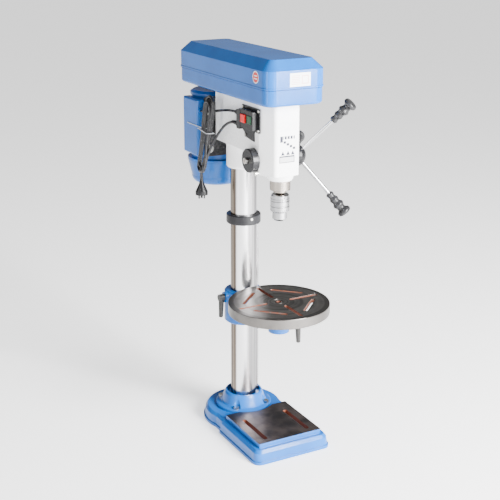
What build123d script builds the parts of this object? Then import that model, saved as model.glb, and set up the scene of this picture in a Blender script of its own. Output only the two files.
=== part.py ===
from build123d import *
import math
import os

# Belt-driven floor-standing drill press.  Millimetres, +Z up, -Y towards the operator, +X to their right.
# The origin is on the column's axis, on the floor.

# ---- column and base --------------------------------------------------------------------------------------
COLUMN_R = 40.0
COLUMN_WALL = 5.0
COLUMN_TOP = 1010.0
BASE_HALF_WIDTH = 130.0
BASE_FRONT_Y = -322.0
BASE_BLOCK_BACK_Y = -83.0
BASE_ROUND_R = BASE_HALF_WIDTH - 2.0
BASE_CORNER = 24.0
BASE_HEIGHT = 42.0
BASE_WALL = 11.0
BASE_TOP_WALL = 13.0
BASE_FOOT = 9.0
BASE_SHOULDER = 33.0
BASE_RIB_Y = (-90.0, -208.0)
BASE_RIB_HALF = 4.0
BASE_BOSS_R = 36.0
PAD_MARGIN = 24.0
PAD_HALF_WIDTH = BASE_HALF_WIDTH - PAD_MARGIN
PAD_FRONT_Y = BASE_FRONT_Y + PAD_MARGIN - 1.0
PAD_BACK_Y = -84.0
PAD_Z = 56.0
PAD_CORNER = 5.0
FLANGE_R = COLUMN_R + 48.0
PAD_ARC_R = FLANGE_R + 14.0
BASE_SLOT_X = PAD_HALF_WIDTH - 34.0
BASE_SLOT_Y = -208.0
BASE_SLOT_LENGTH = 142.0
BASE_SLOT_WIDTH = 14.0
FLANGE_NECK_R = COLUMN_R + 29.0
FLANGE_TOP_R = COLUMN_R + 17.0
FLANGE_FOOT = 9.0
FLANGE_HEIGHT = 47.0
FLANGE_GROOVE_R = COLUMN_R + 12.0
FLANGE_GROOVE_DEPTH = 8.0
FLANGE_BOLT_R = FLANGE_R - 13.0
QUARTERS = (45, 135, 225, 315)
BOLT_HEAD_R = 9.5
BOLT_HEAD_H = 8.0
BOLT_SHANK_R = 5.5

# ---- rack, ring and table bracket -------------------------------------------------------------------------
RACK_GAP = 0.3
RACK_THICK = 8.3
RACK_INNER_X = COLUMN_R + RACK_GAP
RACK_OUTER_X = RACK_INNER_X + RACK_THICK
RACK_WIDTH = 20.0
RACK_MODULE = 2.5
RACK_TOP = 657.0
RING_BOTTOM = 648.0
RING_HEIGHT = 28.0
RING_R = COLUMN_R + 13.0
SLIDE_GAP = 0.08
MOVE_GAP = 0.4
BRACKET_BOTTOM = 328.0
BRACKET_HEIGHT = 102.0
BRACKET_R = COLUMN_R + 20.0
GEAR_TEETH = 12
GEAR_Z = 378.0
GEAR_WIDTH = 18.0
WORM_R = 8.0
CRANK_X = BRACKET_R + 40.0
WORM_INNER_X = CRANK_X - 45.0
WORM_OUTER_X = CRANK_X - 14.0
CRANK_SHAFT_R = 6.0
CRANK_PIN_R = 4.0
CRANK_ARM = 78.0
CRANK_ANGLE = -55.0
CRANK_GRIP_END = 60.0
THROAT = 222.0
TABLE_STEM_R = 18.0
SOCKET_R = TABLE_STEM_R + 13.0
SOCKET_BOTTOM = 367.0
SOCKET_TOP = 424.0
LEVER_LENGTH = 66.0
CLAMP_Z = 412.0
TABLE_LOCK_Z = 384.0
TABLE_LOCK_X = 56.0
LEVER_STUD_R = 6.0
CLAMP_BOSS_X = BRACKET_R + 8.0

# ---- round table ------------------------------------------------------------------------------------------
TABLE_R = 150.0
TABLE_TOP = 459.0
TABLE_RIM = 30.0
TABLE_PLATE = 13.0
TABLE_RIM_WALL = 12.0
TABLE_HOLE_R = 8.0
TABLE_SLOT_WIDTH = 12.0
TABLE_RADIAL_SLOT = 96.0
TABLE_RADIAL_R = 84.0
TABLE_TANGENT_SLOT = 104.0
TABLE_TANGENT_R = 92.0

# ---- head -------------------------------------------------------------------------------------------------
HEAD_TOP = 1054.0
QUILL_R = 30.0
NOSE_FRONT_Y = -THROAT - QUILL_R - 10.0
NOSE_HALF_WIDTH = QUILL_R + 8.0
NOSE_DEPTH = 54.0
NOSE_CORNER = 12.0
NOSE_BACK = 46.0
HEAD_HALF_WIDTH = 62.0
HEAD_BACK_Y = 62.0
HEAD_SIDE_BOTTOM = 900.0
NOSE_BOTTOM = 846.0
COLLAR_R = QUILL_R + 6.0
COLLAR_BOTTOM = 829.0
BOSS_R = COLUMN_R + 12.0
BOSS_BOTTOM = 822.0
HEAD_WALL = 9.0
HEAD_SCREW_R = 5.0
HEAD_SCREW_Y = 20.0
HEAD_SCREW_GAP = 0.12
HEAD_SCREW_Z = (912.0, 965.0)
TENSION_Y = 46.0

# ---- quill, spindle, chuck --------------------------------------------------------------------------------
QUILL_BOTTOM = 799.0
QUILL_TOP = 975.0
QUILL_TRAVEL = 80.0
SPINDLE_R = 15.0
SPINDLE_TOP_R = SPINDLE_R - 3.0
SPINDLE_TOP = 1137.0
SPINDLE_NOSE_R = SPINDLE_R + 5.0
SLEEVE_R = SPINDLE_TOP_R + 9.0
RUN_GAP = 0.05
CHUCK_TOP = 787.0
CHUCK_R = 28.0
CHUCK_SLEEVE_BOTTOM = 735.0
CHUCK_NOSE_R = 21.0
CHUCK_BOTTOM = 710.0
JAW_R = 4.0
JAW_TILT = 15.0
JAW_LENGTH = 30.0
JAW_START_R = 8.2
CHUCK_CORE_R = CHUCK_R - 6.4
TAPER_TOP_R = 9.4
TAPER_END_R = 8.0
TAPER_LENGTH = 34.0

# ---- feed -------------------------------------------------------------------------------------------------
FEED_Z = 884.0
FEED_MODULE = 2.0
FEED_TEETH = 12
FEED_Y = -THROAT + QUILL_R + FEED_MODULE * FEED_TEETH / 2
FEED_JOURNAL_R = 14.24
FEED_JOURNAL_GAP = 0.06
FEED_END_R = 9.0
CAP_SHAFT_R = 5.0
PINION_HALF = 16.0
HUB_R = 34.0
HUB_INNER_X = HEAD_HALF_WIDTH + 4.0
HUB_OUTER_X = HUB_INNER_X + 37.0
DEPTH_COLLAR_R = HUB_R - 1.0
HANDLE_SPLAY = 32.6
HANDLE_FIRST = 33.1
HANDLE_START = 26.0
HANDLE_LENGTH = 226.0
HANDLE_ROOT_X = HUB_INNER_X + 10.0
GRIP_LENGTH = 78.0
ROD_R = 5.5
CAP_R = 35.0
CAP_OUTER_X = HEAD_HALF_WIDTH + 22.0
CAP_SCREW_ANGLE = 38.0

# ---- belt cover and drive ---------------------------------------------------------------------------------
COVER_HALF_WIDTH = 95.0
COVER_FRONT_Y = -314.0
MOTOR_R = 80.0
PLATE_Y = 86.0
PLATE_THICK = 9.0
MOTOR_GAP = 3.0
MOTOR_Y = PLATE_Y + PLATE_THICK + MOTOR_GAP + MOTOR_R
COVER_BACK_Y = MOTOR_Y + 84.0
COVER_CORNER = 34.0
COVER_BOTTOM_ROUND = 9.0
ROOF_INSET = 28.0
COVER_SEAM = 1101.0
COVER_SHOULDER = 1152.0
COVER_TOP = 1180.0
COVER_SKIN = 2.5
IDLER_Y = -20.0
IDLER_POST_R = 8.0
HINGE_HALF = 20.0
HINGE_PIN_R = 2.0
HINGE_KNUCKLE_R = 4.2
PULLEY_BOTTOM = 1070.0
PULLEY_STEP = 14.0
PULLEY_STEPS = 4
PULLEY_LARGE = 68.0
PULLEY_DROP = 10.0
FRONT_BELT_STEP = 1
REAR_BELT_STEP = 3
BELT_DEPTH = 7.0
BELT_WIDTH = 10.0
BELT_PROUD = 0.2

# ---- motor ------------------------------------------------------------------------------------------------
MOTOR_WALL = 14.0
MOTOR_RIBS = 28
MOTOR_BOTTOM = 822.0
MOTOR_TOP = 1034.0
COWL_R = MOTOR_R + 13.0
COWL_BOTTOM = 738.0
MOTOR_SHAFT_R = 10.0
PLATE_HALF = MOTOR_R + 5.0
PLATE_BOLT_X = PLATE_HALF - 13.0
PLATE_BOLT_Z = (866.0, 984.0)
PLATE_BOLT_R = 5.0
PLATE_BOLT_TIP = 4.4
ROD_X = COLUMN_R + 6.0
SLIDE_ROD_R = 9.0
ROD_BOSS_R = SLIDE_ROD_R + 7.0
TENSION_R = 6.0
SLIDE_ROD_START = 34.0
SLIDE_ROD_Z = 935.0
BOX_X0 = -MOTOR_R - 26.0
BOX_X1 = -MOTOR_R + 20.0
BOX_Y0 = MOTOR_Y - 78.0
BOX_Y1 = MOTOR_Y + 22.0
BOX_Z = (842.0, 1016.0)
BOX_WALL = 4.0
BOX_GLAND_X = BOX_X0 + 11.0
BOX_GLAND_Z = 984.0
BOX_GLAND_R = 6.5
BOX_GLAND_LENGTH = 6.0

# ---- switch and cords -------------------------------------------------------------------------------------
SWITCH_PLATE_THICK = 3.0
SWITCH_PLATE_X = -HEAD_HALF_WIDTH - SWITCH_PLATE_THICK
SWITCH_BOX_X = SWITCH_PLATE_X - 15.0
SWITCH_SCREW_R = 2.2
STOP_Y = -150.5
START_Y = -184.0
BUTTON_Z = 1001.0
BUTTON_HALF = 12.0
PLATE_SCREWS = [(-211, 1028), (-211, 973), (-119, 1029), (-134, 950)]
GLAND_X = SWITCH_PLATE_X - 8.0
GLAND_Y = -108.0
GLAND_Z = (1010.0, 978.0)
CORD_R = 4.0
GLAND_R = 7.0
GLAND_LENGTH = 13.0
CORD_GAP = 0.4
MOTOR_CABLE_POINTS = [(-73, -106, 1010), (-73, -66, 1009), (-73, -22, 1003), (-77, 14, 996), (-84, 46, 989),
                      (-95, 74, 984), (-95, 112, 984)]
MAINS_POINTS = [(-73, -106, 978), (-73, -68, 977), (-77, -38, 966), (-88, -18, 942), (-98, -4, 914),
                (-104, 18, 884)]
PLUG_LEAD_POINTS = [(-118, 49, 806), (-117, 52, 793), (-114, 57, 777)]
HANK_CENTRE = (-110.0, 35.0, 923.0)
HANK_SIZE = (24.0, 56.0, 246.0)
HANK_LEAN_X = 7.0
HANK_LEAN_Y = 4.2
HANK_ROUND = 26.0
TIE_Z = 12.0
TIE_WIDTH = 1.8
TIE_TAIL_END_Y = 168.0
PLUG_TOP = (-114.0, 57.0, 780.0)
PLUG_TURN = -25.0


def ring(radius_out, radius_in, low, high, x=0.0, y=0.0):
    """An upright tube between two heights."""
    shape = Cylinder(radius_out, high - low, align=(Align.CENTER, Align.CENTER, Align.MIN))
    if radius_in > 0:
        shape -= Cylinder(radius_in, high - low, align=(Align.CENTER, Align.CENTER, Align.MIN))
    return Pos(x, y, low) * shape


def block(x0, x1, y0, y1, z0, z1):
    """A box from its lowest corner to its highest."""
    return Pos((x0 + x1) / 2, (y0 + y1) / 2, (z0 + z1) / 2) * Box(x1 - x0, y1 - y0, z1 - z0)


def rod_x(radius, x0, x1, y, z):
    """A round bar along X."""
    return Pos((x0 + x1) / 2, y, z) * Rot(0, 90, 0) * Cylinder(radius, abs(x1 - x0))


def rod_y(radius, y0, y1, x, z):
    """A round bar along Y."""
    return Pos(x, (y0 + y1) / 2, z) * Rot(90, 0, 0) * Cylinder(radius, abs(y1 - y0))


def turned(profile, x=0.0, y=0.0):
    """A shape turned about a vertical axis from (radius, height) points."""
    face = make_face(Polyline(*[(r, 0, z) for r, z in profile], close=True))
    return Pos(x, y, 0) * revolve(face, Axis.Z)


def between(shape, start, direction):
    """Stand a shape built along +Z on a start point, pointing along a direction."""
    return Plane(origin=start, z_dir=direction) * shape


def hexagon_bolt(head_r, head_h, shank_r, shank_l):
    """A hex bolt, head upwards, with the underside of its head at the origin."""
    head = extrude(RegularPolygon(head_r, 6), head_h)
    return head + Pos(0, 0, -shank_l / 2) * Cylinder(shank_r, shank_l)


# ---- stand ------------------------------------------------------------------------------------------------
def base_outline(inset):
    """The base's plan: a block in front of a round end."""
    half = BASE_HALF_WIDTH - inset
    front = BASE_FRONT_Y + inset
    back = BASE_BLOCK_BACK_Y - inset * 0.4
    plan = Pos(0, (front + back) / 2) * Rectangle(2 * half, back - front)
    plan = fillet(plan.vertices().group_by(Axis.Y)[0], BASE_CORNER - inset * 0.6)
    plan += Circle(BASE_ROUND_R - inset)
    plan += Pos(0, back / 2) * Rectangle(2 * half - 16, abs(back))
    return plan


def pad_outline():
    """The raised pad's plan: a rectangle whose back is hollowed round the column's flange."""
    length = PAD_BACK_Y - PAD_FRONT_Y
    plan = Pos(0, (PAD_BACK_Y + PAD_FRONT_Y) / 2) * Rectangle(2 * PAD_HALF_WIDTH, length)
    plan = fillet(plan.vertices().group_by(Axis.Y)[0], PAD_CORNER)
    return plan - Circle(PAD_ARC_R)


def base_casting():
    """A hollow casting with a raised, planed pad and a boss under the column."""
    shape = extrude(base_outline(0), BASE_FOOT)
    steps = [(BASE_FOOT, 3, BASE_SHOULDER, 6), (BASE_SHOULDER, 6, BASE_HEIGHT, 13)]
    for low, low_inset, high, high_inset in steps:
        shape += loft([Pos(0, 0, low) * base_outline(low_inset).face(),
                       Pos(0, 0, high) * base_outline(high_inset).face()])
    shape += extrude(Pos(0, 0, BASE_HEIGHT) * pad_outline(), PAD_Z - BASE_HEIGHT)
    hollow = extrude(base_outline(BASE_WALL), BASE_HEIGHT - BASE_TOP_WALL)
    hollow -= ring(BASE_BOSS_R, 0, 0, BASE_HEIGHT)
    for rib_y in BASE_RIB_Y:
        hollow -= block(-BASE_HALF_WIDTH, BASE_HALF_WIDTH, rib_y - BASE_RIB_HALF, rib_y + BASE_RIB_HALF,
                        BASE_FOOT, BASE_HEIGHT)
    shape -= hollow
    for side in (-1, 1):
        slot = SlotOverall(BASE_SLOT_LENGTH, BASE_SLOT_WIDTH)
        cut = extrude(Rot(0, 0, 90) * slot, PAD_Z + 10)
        shape -= Pos(side * BASE_SLOT_X, BASE_SLOT_Y, -5) * cut
    for angle in QUARTERS:
        hole = Cylinder(BOLT_SHANK_R, 60)
        shape -= Rot(0, 0, angle) * Pos(FLANGE_BOLT_R, 0, BASE_HEIGHT - 12) * hole
    return shape


def column_flange():
    low = BASE_HEIGHT
    foot = low + FLANGE_FOOT
    top = low + FLANGE_HEIGHT
    profile = [(COLUMN_R, low), (FLANGE_R, low), (FLANGE_R, foot - 2), (FLANGE_R - 3, foot),
               (FLANGE_NECK_R + 4, foot + 2), (FLANGE_NECK_R, foot + 7), (FLANGE_TOP_R + 4, top - 6),
               (FLANGE_TOP_R, top), (COLUMN_R, top)]
    shape = turned(profile)
    shape -= ring(FLANGE_GROOVE_R, COLUMN_R, top - FLANGE_GROOVE_DEPTH, top)
    for angle in QUARTERS:
        pocket = Rot(0, 0, angle) * Pos(FLANGE_BOLT_R, 0, foot + 20) * Cylinder(BOLT_HEAD_R + 3, 40)
        hole = Rot(0, 0, angle) * Pos(FLANGE_BOLT_R, 0, low) * Cylinder(BOLT_SHANK_R, 60)
        shape -= pocket
        shape -= hole
    return shape


def flange_bolts():
    bolts = []
    for angle in QUARTERS:
        bolt = hexagon_bolt(BOLT_HEAD_R, BOLT_HEAD_H, BOLT_SHANK_R, BASE_HEIGHT / 2)
        bolts.append(Rot(0, 0, angle) * Pos(FLANGE_BOLT_R, 0, BASE_HEIGHT + FLANGE_FOOT) * bolt)
    return Compound(children=bolts)


def column_tube():
    return ring(COLUMN_R, COLUMN_R - COLUMN_WALL, BASE_HEIGHT, COLUMN_TOP)


def rack_ring():
    top = RING_BOTTOM + RING_HEIGHT
    outer = turned([(COLUMN_R, RING_BOTTOM), (RING_R - 1, RING_BOTTOM), (RING_R, RING_BOTTOM + 3),
                    (RING_R, top - 2), (RING_R - 2, top), (COLUMN_R, top)])
    outer -= ring(RING_R - 2.5, COLUMN_R, RING_BOTTOM, RACK_TOP + 1)
    return outer - rod_y(4, -RING_R - 5, -COLUMN_R, 0, top - 9)


def cap_screw():
    """The chrome pin that stops the spring cap from turning."""
    angle = math.radians(CAP_SCREW_ANGLE)
    y = FEED_Y - (CAP_R + 7.5) * math.sin(angle)
    z = FEED_Z - (CAP_R + 7.5) * math.cos(angle)
    shank = rod_x(4.5, -HEAD_HALF_WIDTH - 12, -HEAD_HALF_WIDTH, y, z)
    return shank + rod_x(6.5, -HEAD_HALF_WIDTH - 13, -HEAD_HALF_WIDTH - 6, y, z)


def lock_screws():
    """The screws of the rack ring, of the head's column boss and of the spring cap."""
    ring_screw = rod_y(4, -RING_R - 1.5, -COLUMN_R, 0, RING_BOTTOM + RING_HEIGHT - 9)
    tip = math.sqrt(COLUMN_R ** 2 - (HEAD_SCREW_Y - HEAD_SCREW_R) ** 2) + HEAD_SCREW_GAP
    head_screws = [rod_x(HEAD_SCREW_R, tip, HEAD_HALF_WIDTH + 3, HEAD_SCREW_Y, z) for z in HEAD_SCREW_Z]
    return Compound(children=[ring_screw, cap_screw()] + head_screws)


# ---- rack and table lift ----------------------------------------------------------------------------------
def rack_pitch():
    return math.pi * RACK_MODULE


def column_rack():
    """A toothed bar beside the column; one gap faces the gear's axis."""
    low = BASE_HEIGHT + FLANGE_HEIGHT - FLANGE_GROOVE_DEPTH + 1
    pitch = rack_pitch()
    points = [(RACK_INNER_X, low), (RACK_OUTER_X, low)]
    first = math.ceil((low + 12 - GEAR_Z) / pitch)
    last = math.floor((RING_BOTTOM - 6 - GEAR_Z) / pitch)
    for tooth in range(first, last + 1):
        centre = GEAR_Z + tooth * pitch
        points += [(RACK_OUTER_X, centre - 2.8), (RACK_OUTER_X - 4.6, centre - 1.8)]
        points += [(RACK_OUTER_X - 4.6, centre + 1.8), (RACK_OUTER_X, centre + 2.8)]
    points += [(RACK_OUTER_X, RACK_TOP), (RACK_INNER_X, RACK_TOP)]
    face = make_face(Polyline(*[(x, 0, z) for x, z in points], close=True))
    return Pos(0, RACK_WIDTH / 2, 0) * extrude(face, RACK_WIDTH, dir=(0, -1, 0))


def toothed_wheel(teeth, root_r, tip_r, base_half, tip_half, width):
    """A wheel of straight-flanked teeth about Z, with one tooth along -X."""
    wheel = Cylinder(root_r, width)
    tooth = make_face(Polyline((-root_r + 1, -base_half), (-tip_r, -tip_half), (-tip_r, tip_half),
                               (-root_r + 1, base_half), close=True))
    tooth = extrude(tooth, width / 2, both=True)
    for index in range(teeth):
        wheel += Rot(0, 0, index * 360 / teeth) * tooth
    return wheel


def gear_axis_x():
    return RACK_OUTER_X - 1.6 + RACK_MODULE * GEAR_TEETH / 2


def elevation_gear():
    pitch_r = RACK_MODULE * GEAR_TEETH / 2
    wheel = toothed_wheel(GEAR_TEETH, pitch_r - 2.4, pitch_r + 2.0, 2.0, 0.9, GEAR_WIDTH)
    wheel += Cylinder(6, GEAR_WIDTH + 16)
    return Pos(gear_axis_x(), 0, GEAR_Z) * Rot(90, 0, 0) * wheel


def worm_z():
    return GEAR_Z - RACK_MODULE * GEAR_TEETH / 2 - 2.0 - MOVE_GAP - WORM_R


def crank_offset():
    """The handle's pin from the crank's axis, along Y and Z."""
    angle = math.radians(CRANK_ANGLE)
    return CRANK_ARM * math.cos(angle), CRANK_ARM * math.sin(angle)


def elevation_crank():
    """The worm's shaft and its crank arm, which runs back and down to the handle's pin."""
    z = worm_z()
    dy, dz = crank_offset()
    end = CRANK_X + CRANK_GRIP_END
    shape = rod_x(WORM_R, WORM_INNER_X, WORM_OUTER_X, 0, z)
    shape += rod_x(CRANK_SHAFT_R, WORM_OUTER_X, CRANK_X + 9, 0, z)
    shape += rod_x(11, CRANK_X, CRANK_X + 14, 0, z)
    shape += Pos(CRANK_X + 9, dy / 2, z + dz / 2) * Rot(CRANK_ANGLE, 0, 0) * Box(8, CRANK_ARM, 15)
    shape += rod_x(10, CRANK_X + 4, CRANK_X + 14, dy, z + dz)
    shape += rod_x(CRANK_PIN_R, CRANK_X + 14, end + 2, dy, z + dz)
    return shape + rod_x(6, end, end + 3, dy, z + dz)


def crank_grip():
    dy, dz = crank_offset()
    x0 = CRANK_X + 14 + MOVE_GAP
    x1 = CRANK_X + CRANK_GRIP_END - MOVE_GAP
    bore = CRANK_PIN_R + RUN_GAP
    profile = Spline((x0, 9), (x0 + 16, 12), (x1 - 10, 12.5), (x1, 9))
    edge = profile + Line((x1, 9), (x1, bore)) + Line((x1, bore), (x0, bore))
    edge += Line((x0, bore), (x0, 9))
    return Pos(0, dy, worm_z() + dz) * revolve(make_face(edge), Axis.X)


def table_bracket():
    top = BRACKET_BOTTOM + BRACKET_HEIGHT
    shape = ring(BRACKET_R, 0, BRACKET_BOTTOM, top)
    shape = chamfer(shape.edges().filter_by(GeomType.CIRCLE), 4)
    shape += ring(SOCKET_R, 0, SOCKET_BOTTOM, SOCKET_TOP, 0, -THROAT)
    web = make_face(Polyline((-THROAT, SOCKET_BOTTOM + 14), (-THROAT, SOCKET_TOP - 8), (-30, top - 6),
                             (-30, BRACKET_BOTTOM + 8), close=True))
    shape += extrude(Plane.YZ * web, 21, both=True)
    shape += block(-34, 34, -THROAT, -30, top - 22, top - 8)
    shape += rod_x(17, -CLAMP_BOSS_X, -30, 0, CLAMP_Z)
    shape += block(COLUMN_R - 10, CRANK_X - 6, -22, 22, worm_z() - 18, GEAR_Z + 26)
    shape += rod_x(15, 20, TABLE_LOCK_X, -THROAT, TABLE_LOCK_Z)
    shape -= ring(COLUMN_R + SLIDE_GAP, 0, BRACKET_BOTTOM - 1, top + 1)
    rack_half = RACK_WIDTH / 2 + MOVE_GAP
    shape -= block(0, RACK_OUTER_X + 0.6, -rack_half, rack_half, BRACKET_BOTTOM - 1, top + 1)
    gear_r = RACK_MODULE * GEAR_TEETH / 2 + 3
    gear_half = GEAR_WIDTH / 2 + 1
    shape -= rod_y(gear_r, -gear_half, gear_half, gear_axis_x(), GEAR_Z)
    shape -= block(COLUMN_R, gear_axis_x(), -gear_half, gear_half, GEAR_Z - gear_r, GEAR_Z + gear_r)
    shape -= rod_y(6 + RUN_GAP, -GEAR_WIDTH / 2 - 9, GEAR_WIDTH / 2 + 9, gear_axis_x(), GEAR_Z)
    shape -= rod_x(WORM_R + RUN_GAP, WORM_INNER_X - 1, WORM_OUTER_X + 0.5, 0, worm_z())
    shape -= rod_x(CRANK_SHAFT_R + RUN_GAP, WORM_OUTER_X - 6, CRANK_X, 0, worm_z())
    shape -= ring(TABLE_STEM_R + RUN_GAP, 0, SOCKET_BOTTOM - 1, SOCKET_TOP + 1, 0, -THROAT)
    shape -= rod_x(LEVER_STUD_R + RUN_GAP, -CLAMP_BOSS_X - 1, -COLUMN_R, 0, CLAMP_Z)
    return shape - rod_x(LEVER_STUD_R + RUN_GAP, TABLE_STEM_R, TABLE_LOCK_X + 1, -THROAT, TABLE_LOCK_Z)


def hanging_lever(x_inner, x_outer, side, y, z, stud_tip):
    """A locking lever: a stud, a round hub and a tapered bar that hangs from it."""
    hub = rod_x(11, x_inner, x_outer, y, z) + rod_x(LEVER_STUD_R, stud_tip, x_inner, y, z)
    bar = Cone(6.5, 9, LEVER_LENGTH, align=(Align.CENTER, Align.CENTER, Align.MAX))
    middle = (x_inner + x_outer) / 2
    bar = fillet(bar.edges().group_by(Axis.Z)[0], 3)
    return hub + Pos(middle, y, z) * Rot(side * 4, 0, 0) * bar


def clamp_lever():
    inner = -CLAMP_BOSS_X - MOVE_GAP
    return hanging_lever(inner, inner - 18, 1, 0, CLAMP_Z, -COLUMN_R - 0.3)


def table_lock_lever():
    inner = TABLE_LOCK_X + MOVE_GAP
    return hanging_lever(inner, inner + 19, -1, -THROAT, TABLE_LOCK_Z, TABLE_STEM_R + 0.3)


# ---- round table ------------------------------------------------------------------------------------------
def round_table():
    bottom = TABLE_TOP - TABLE_RIM
    shape = ring(TABLE_R, 0, bottom, TABLE_TOP)
    shape = fillet(shape.edges().filter_by(GeomType.CIRCLE), 2)
    shape -= ring(TABLE_R - TABLE_RIM_WALL, 42, bottom - 1, TABLE_TOP - TABLE_PLATE)
    shape -= ring(42, 0, bottom - 1, bottom + 3)
    shape += ring(38, 0, SOCKET_TOP + MOVE_GAP, bottom + 4)
    shape += ring(TABLE_STEM_R, 0, SOCKET_BOTTOM + 6, SOCKET_TOP + 2)
    shape -= ring(TABLE_HOLE_R, 0, SOCKET_BOTTOM, TABLE_TOP + 1)
    shape -= ring(20, 14, TABLE_TOP - 1.2, TABLE_TOP + 1)
    for index in range(4):
        radial = extrude(SlotOverall(TABLE_RADIAL_SLOT, TABLE_SLOT_WIDTH), TABLE_PLATE + 5)
        shape -= Rot(0, 0, index * 90) * Pos(TABLE_RADIAL_R, 0, TABLE_TOP - TABLE_PLATE - 2) * radial
        tangent = extrude(Rot(0, 0, 90) * SlotOverall(TABLE_TANGENT_SLOT, TABLE_SLOT_WIDTH), TABLE_PLATE + 5)
        shape -= Rot(0, 0, index * 90 + 45) * Pos(TABLE_TANGENT_R, 0, TABLE_TOP - TABLE_PLATE - 2) * tangent
    return Pos(0, -THROAT, 0) * shape


# ---- head -------------------------------------------------------------------------------------------------
def head_plan(inset):
    """The head's plan: a narrow rounded nose that widens to the column housing."""
    half = HEAD_HALF_WIDTH - inset
    nose = NOSE_HALF_WIDTH - inset
    front = NOSE_FRONT_Y + inset
    back = HEAD_BACK_Y - inset
    wide = front + NOSE_DEPTH
    plan = make_face(Polyline((-nose, front), (nose, front), (half, wide), (half, back),
                              (-half, back), (-half, wide), close=True))
    return fillet(plan.vertices().group_by(Axis.Y)[0], NOSE_CORNER - inset / 2)


def head_casting():
    shape = extrude(Pos(0, 0, HEAD_SIDE_BOTTOM) * head_plan(0), HEAD_TOP - HEAD_SIDE_BOTTOM)
    nose = extrude(Pos(0, 0, NOSE_BOTTOM) * head_plan(0), HEAD_SIDE_BOTTOM - NOSE_BOTTOM)
    nose_back = -THROAT + QUILL_R + NOSE_BACK
    shape += nose & block(-HEAD_HALF_WIDTH, HEAD_HALF_WIDTH, NOSE_FRONT_Y, nose_back,
                          NOSE_BOTTOM, HEAD_SIDE_BOTTOM)
    shape += turned([(0, COLLAR_BOTTOM), (COLLAR_R - 2, COLLAR_BOTTOM), (COLLAR_R, COLLAR_BOTTOM + 3),
                     (COLLAR_R + 6, NOSE_BOTTOM + 1), (0, NOSE_BOTTOM + 1)], 0, -THROAT)
    shape += turned([(0, BOSS_BOTTOM), (BOSS_R - 5, BOSS_BOTTOM), (BOSS_R, BOSS_BOTTOM + 5),
                     (BOSS_R, HEAD_SIDE_BOTTOM - 8), (BOSS_R + 8, HEAD_SIDE_BOTTOM + 1),
                     (0, HEAD_SIDE_BOTTOM + 1)])
    for side in (-1, 1):
        shape += rod_y(ROD_BOSS_R, 10, HEAD_BACK_Y, side * ROD_X, SLIDE_ROD_Z)
    cavity_front = -THROAT + QUILL_R + 26
    cavity_half = HEAD_HALF_WIDTH - HEAD_WALL
    shape -= block(-cavity_half, cavity_half, cavity_front, -COLUMN_R - HEAD_WALL,
                   HEAD_SIDE_BOTTOM + HEAD_WALL, HEAD_TOP - 12)
    shape -= ring(QUILL_R + RUN_GAP, 0, COLLAR_BOTTOM - 1, QUILL_TOP + 1, 0, -THROAT)
    shape -= ring(SLEEVE_R, 0, QUILL_TOP, HEAD_TOP + 1, 0, -THROAT)
    shape -= ring(COLUMN_R, 0, BOSS_BOTTOM - 1, COLUMN_TOP)
    outside = HEAD_HALF_WIDTH + 5
    shape -= rod_x(FEED_JOURNAL_R + FEED_JOURNAL_GAP, -outside, outside, FEED_Y, FEED_Z)
    for side in (-1, 1):
        shape -= rod_y(SLIDE_ROD_R + RUN_GAP, SLIDE_ROD_START - 14, HEAD_BACK_Y + 1,
                       side * ROD_X, SLIDE_ROD_Z)
    for z in HEAD_SCREW_Z:
        shape -= rod_x(HEAD_SCREW_R, COLUMN_R - 5, HEAD_HALF_WIDTH + 5, HEAD_SCREW_Y, z)
    shape -= rod_x(TENSION_R + RUN_GAP, ROD_X, ROD_X + ROD_BOSS_R + 5, TENSION_Y, SLIDE_ROD_Z)
    return shape


# ---- quill, spindle and chuck -----------------------------------------------------------------------------
def quill():
    shape = ring(QUILL_R, 0, QUILL_BOTTOM, QUILL_TOP)
    shape = chamfer(shape.edges().filter_by(GeomType.CIRCLE).group_by(Axis.Z)[0], 1.5)
    shape -= ring(SPINDLE_R + RUN_GAP, 0, QUILL_BOTTOM - 1, QUILL_TOP + 1)
    shape = Pos(0, -THROAT, 0) * shape
    back = FEED_Y - FEED_MODULE * FEED_TEETH / 2
    shape -= block(-17, 17, back - 0.4, back + 4, FEED_Z - 14, QUILL_TOP + 1)
    pitch = math.pi * FEED_MODULE
    for index in range(-1, int(QUILL_TRAVEL / pitch) + 2):
        z = FEED_Z + index * pitch
        gap = make_face(Polyline((back + 0.1, z - 2.0), (back - 2.8, z - 1.45), (back - 2.8, z + 1.45),
                                 (back + 0.1, z + 2.0), close=True))
        shape -= extrude(Plane.YZ * gap, 17, both=True)
    return shape


def spindle():
    nose = QUILL_BOTTOM - MOVE_GAP
    taper_end = CHUCK_TOP - TAPER_LENGTH
    profile = [(0, taper_end), (TAPER_END_R, taper_end), (TAPER_TOP_R, CHUCK_TOP), (11, CHUCK_TOP + 1),
               (SPINDLE_NOSE_R, nose - 5), (SPINDLE_NOSE_R, nose), (SPINDLE_R, nose),
               (SPINDLE_R, QUILL_TOP + 3), (SPINDLE_TOP_R, QUILL_TOP + 8), (SPINDLE_TOP_R, SPINDLE_TOP - 2),
               (SPINDLE_TOP_R - 2, SPINDLE_TOP), (0, SPINDLE_TOP)]
    return turned(profile, 0, -THROAT)


def jaw_place(angle, shape):
    """Lean a jaw, built along -Z from its tip, so that the three meet on the spindle's axis."""
    lean = Pos(JAW_START_R, 0, CHUCK_BOTTOM + 2) * Rot(0, JAW_TILT, 0) * shape
    return Pos(0, -THROAT, 0) * Rot(0, 0, angle) * lean


def jaw_blank(radius, extra):
    return Cylinder(radius, JAW_LENGTH + extra, align=(Align.CENTER, Align.CENTER, Align.MIN))


def chuck_jaw(index):
    return jaw_place(index * 120 + 90, jaw_blank(JAW_R, 0))


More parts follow.
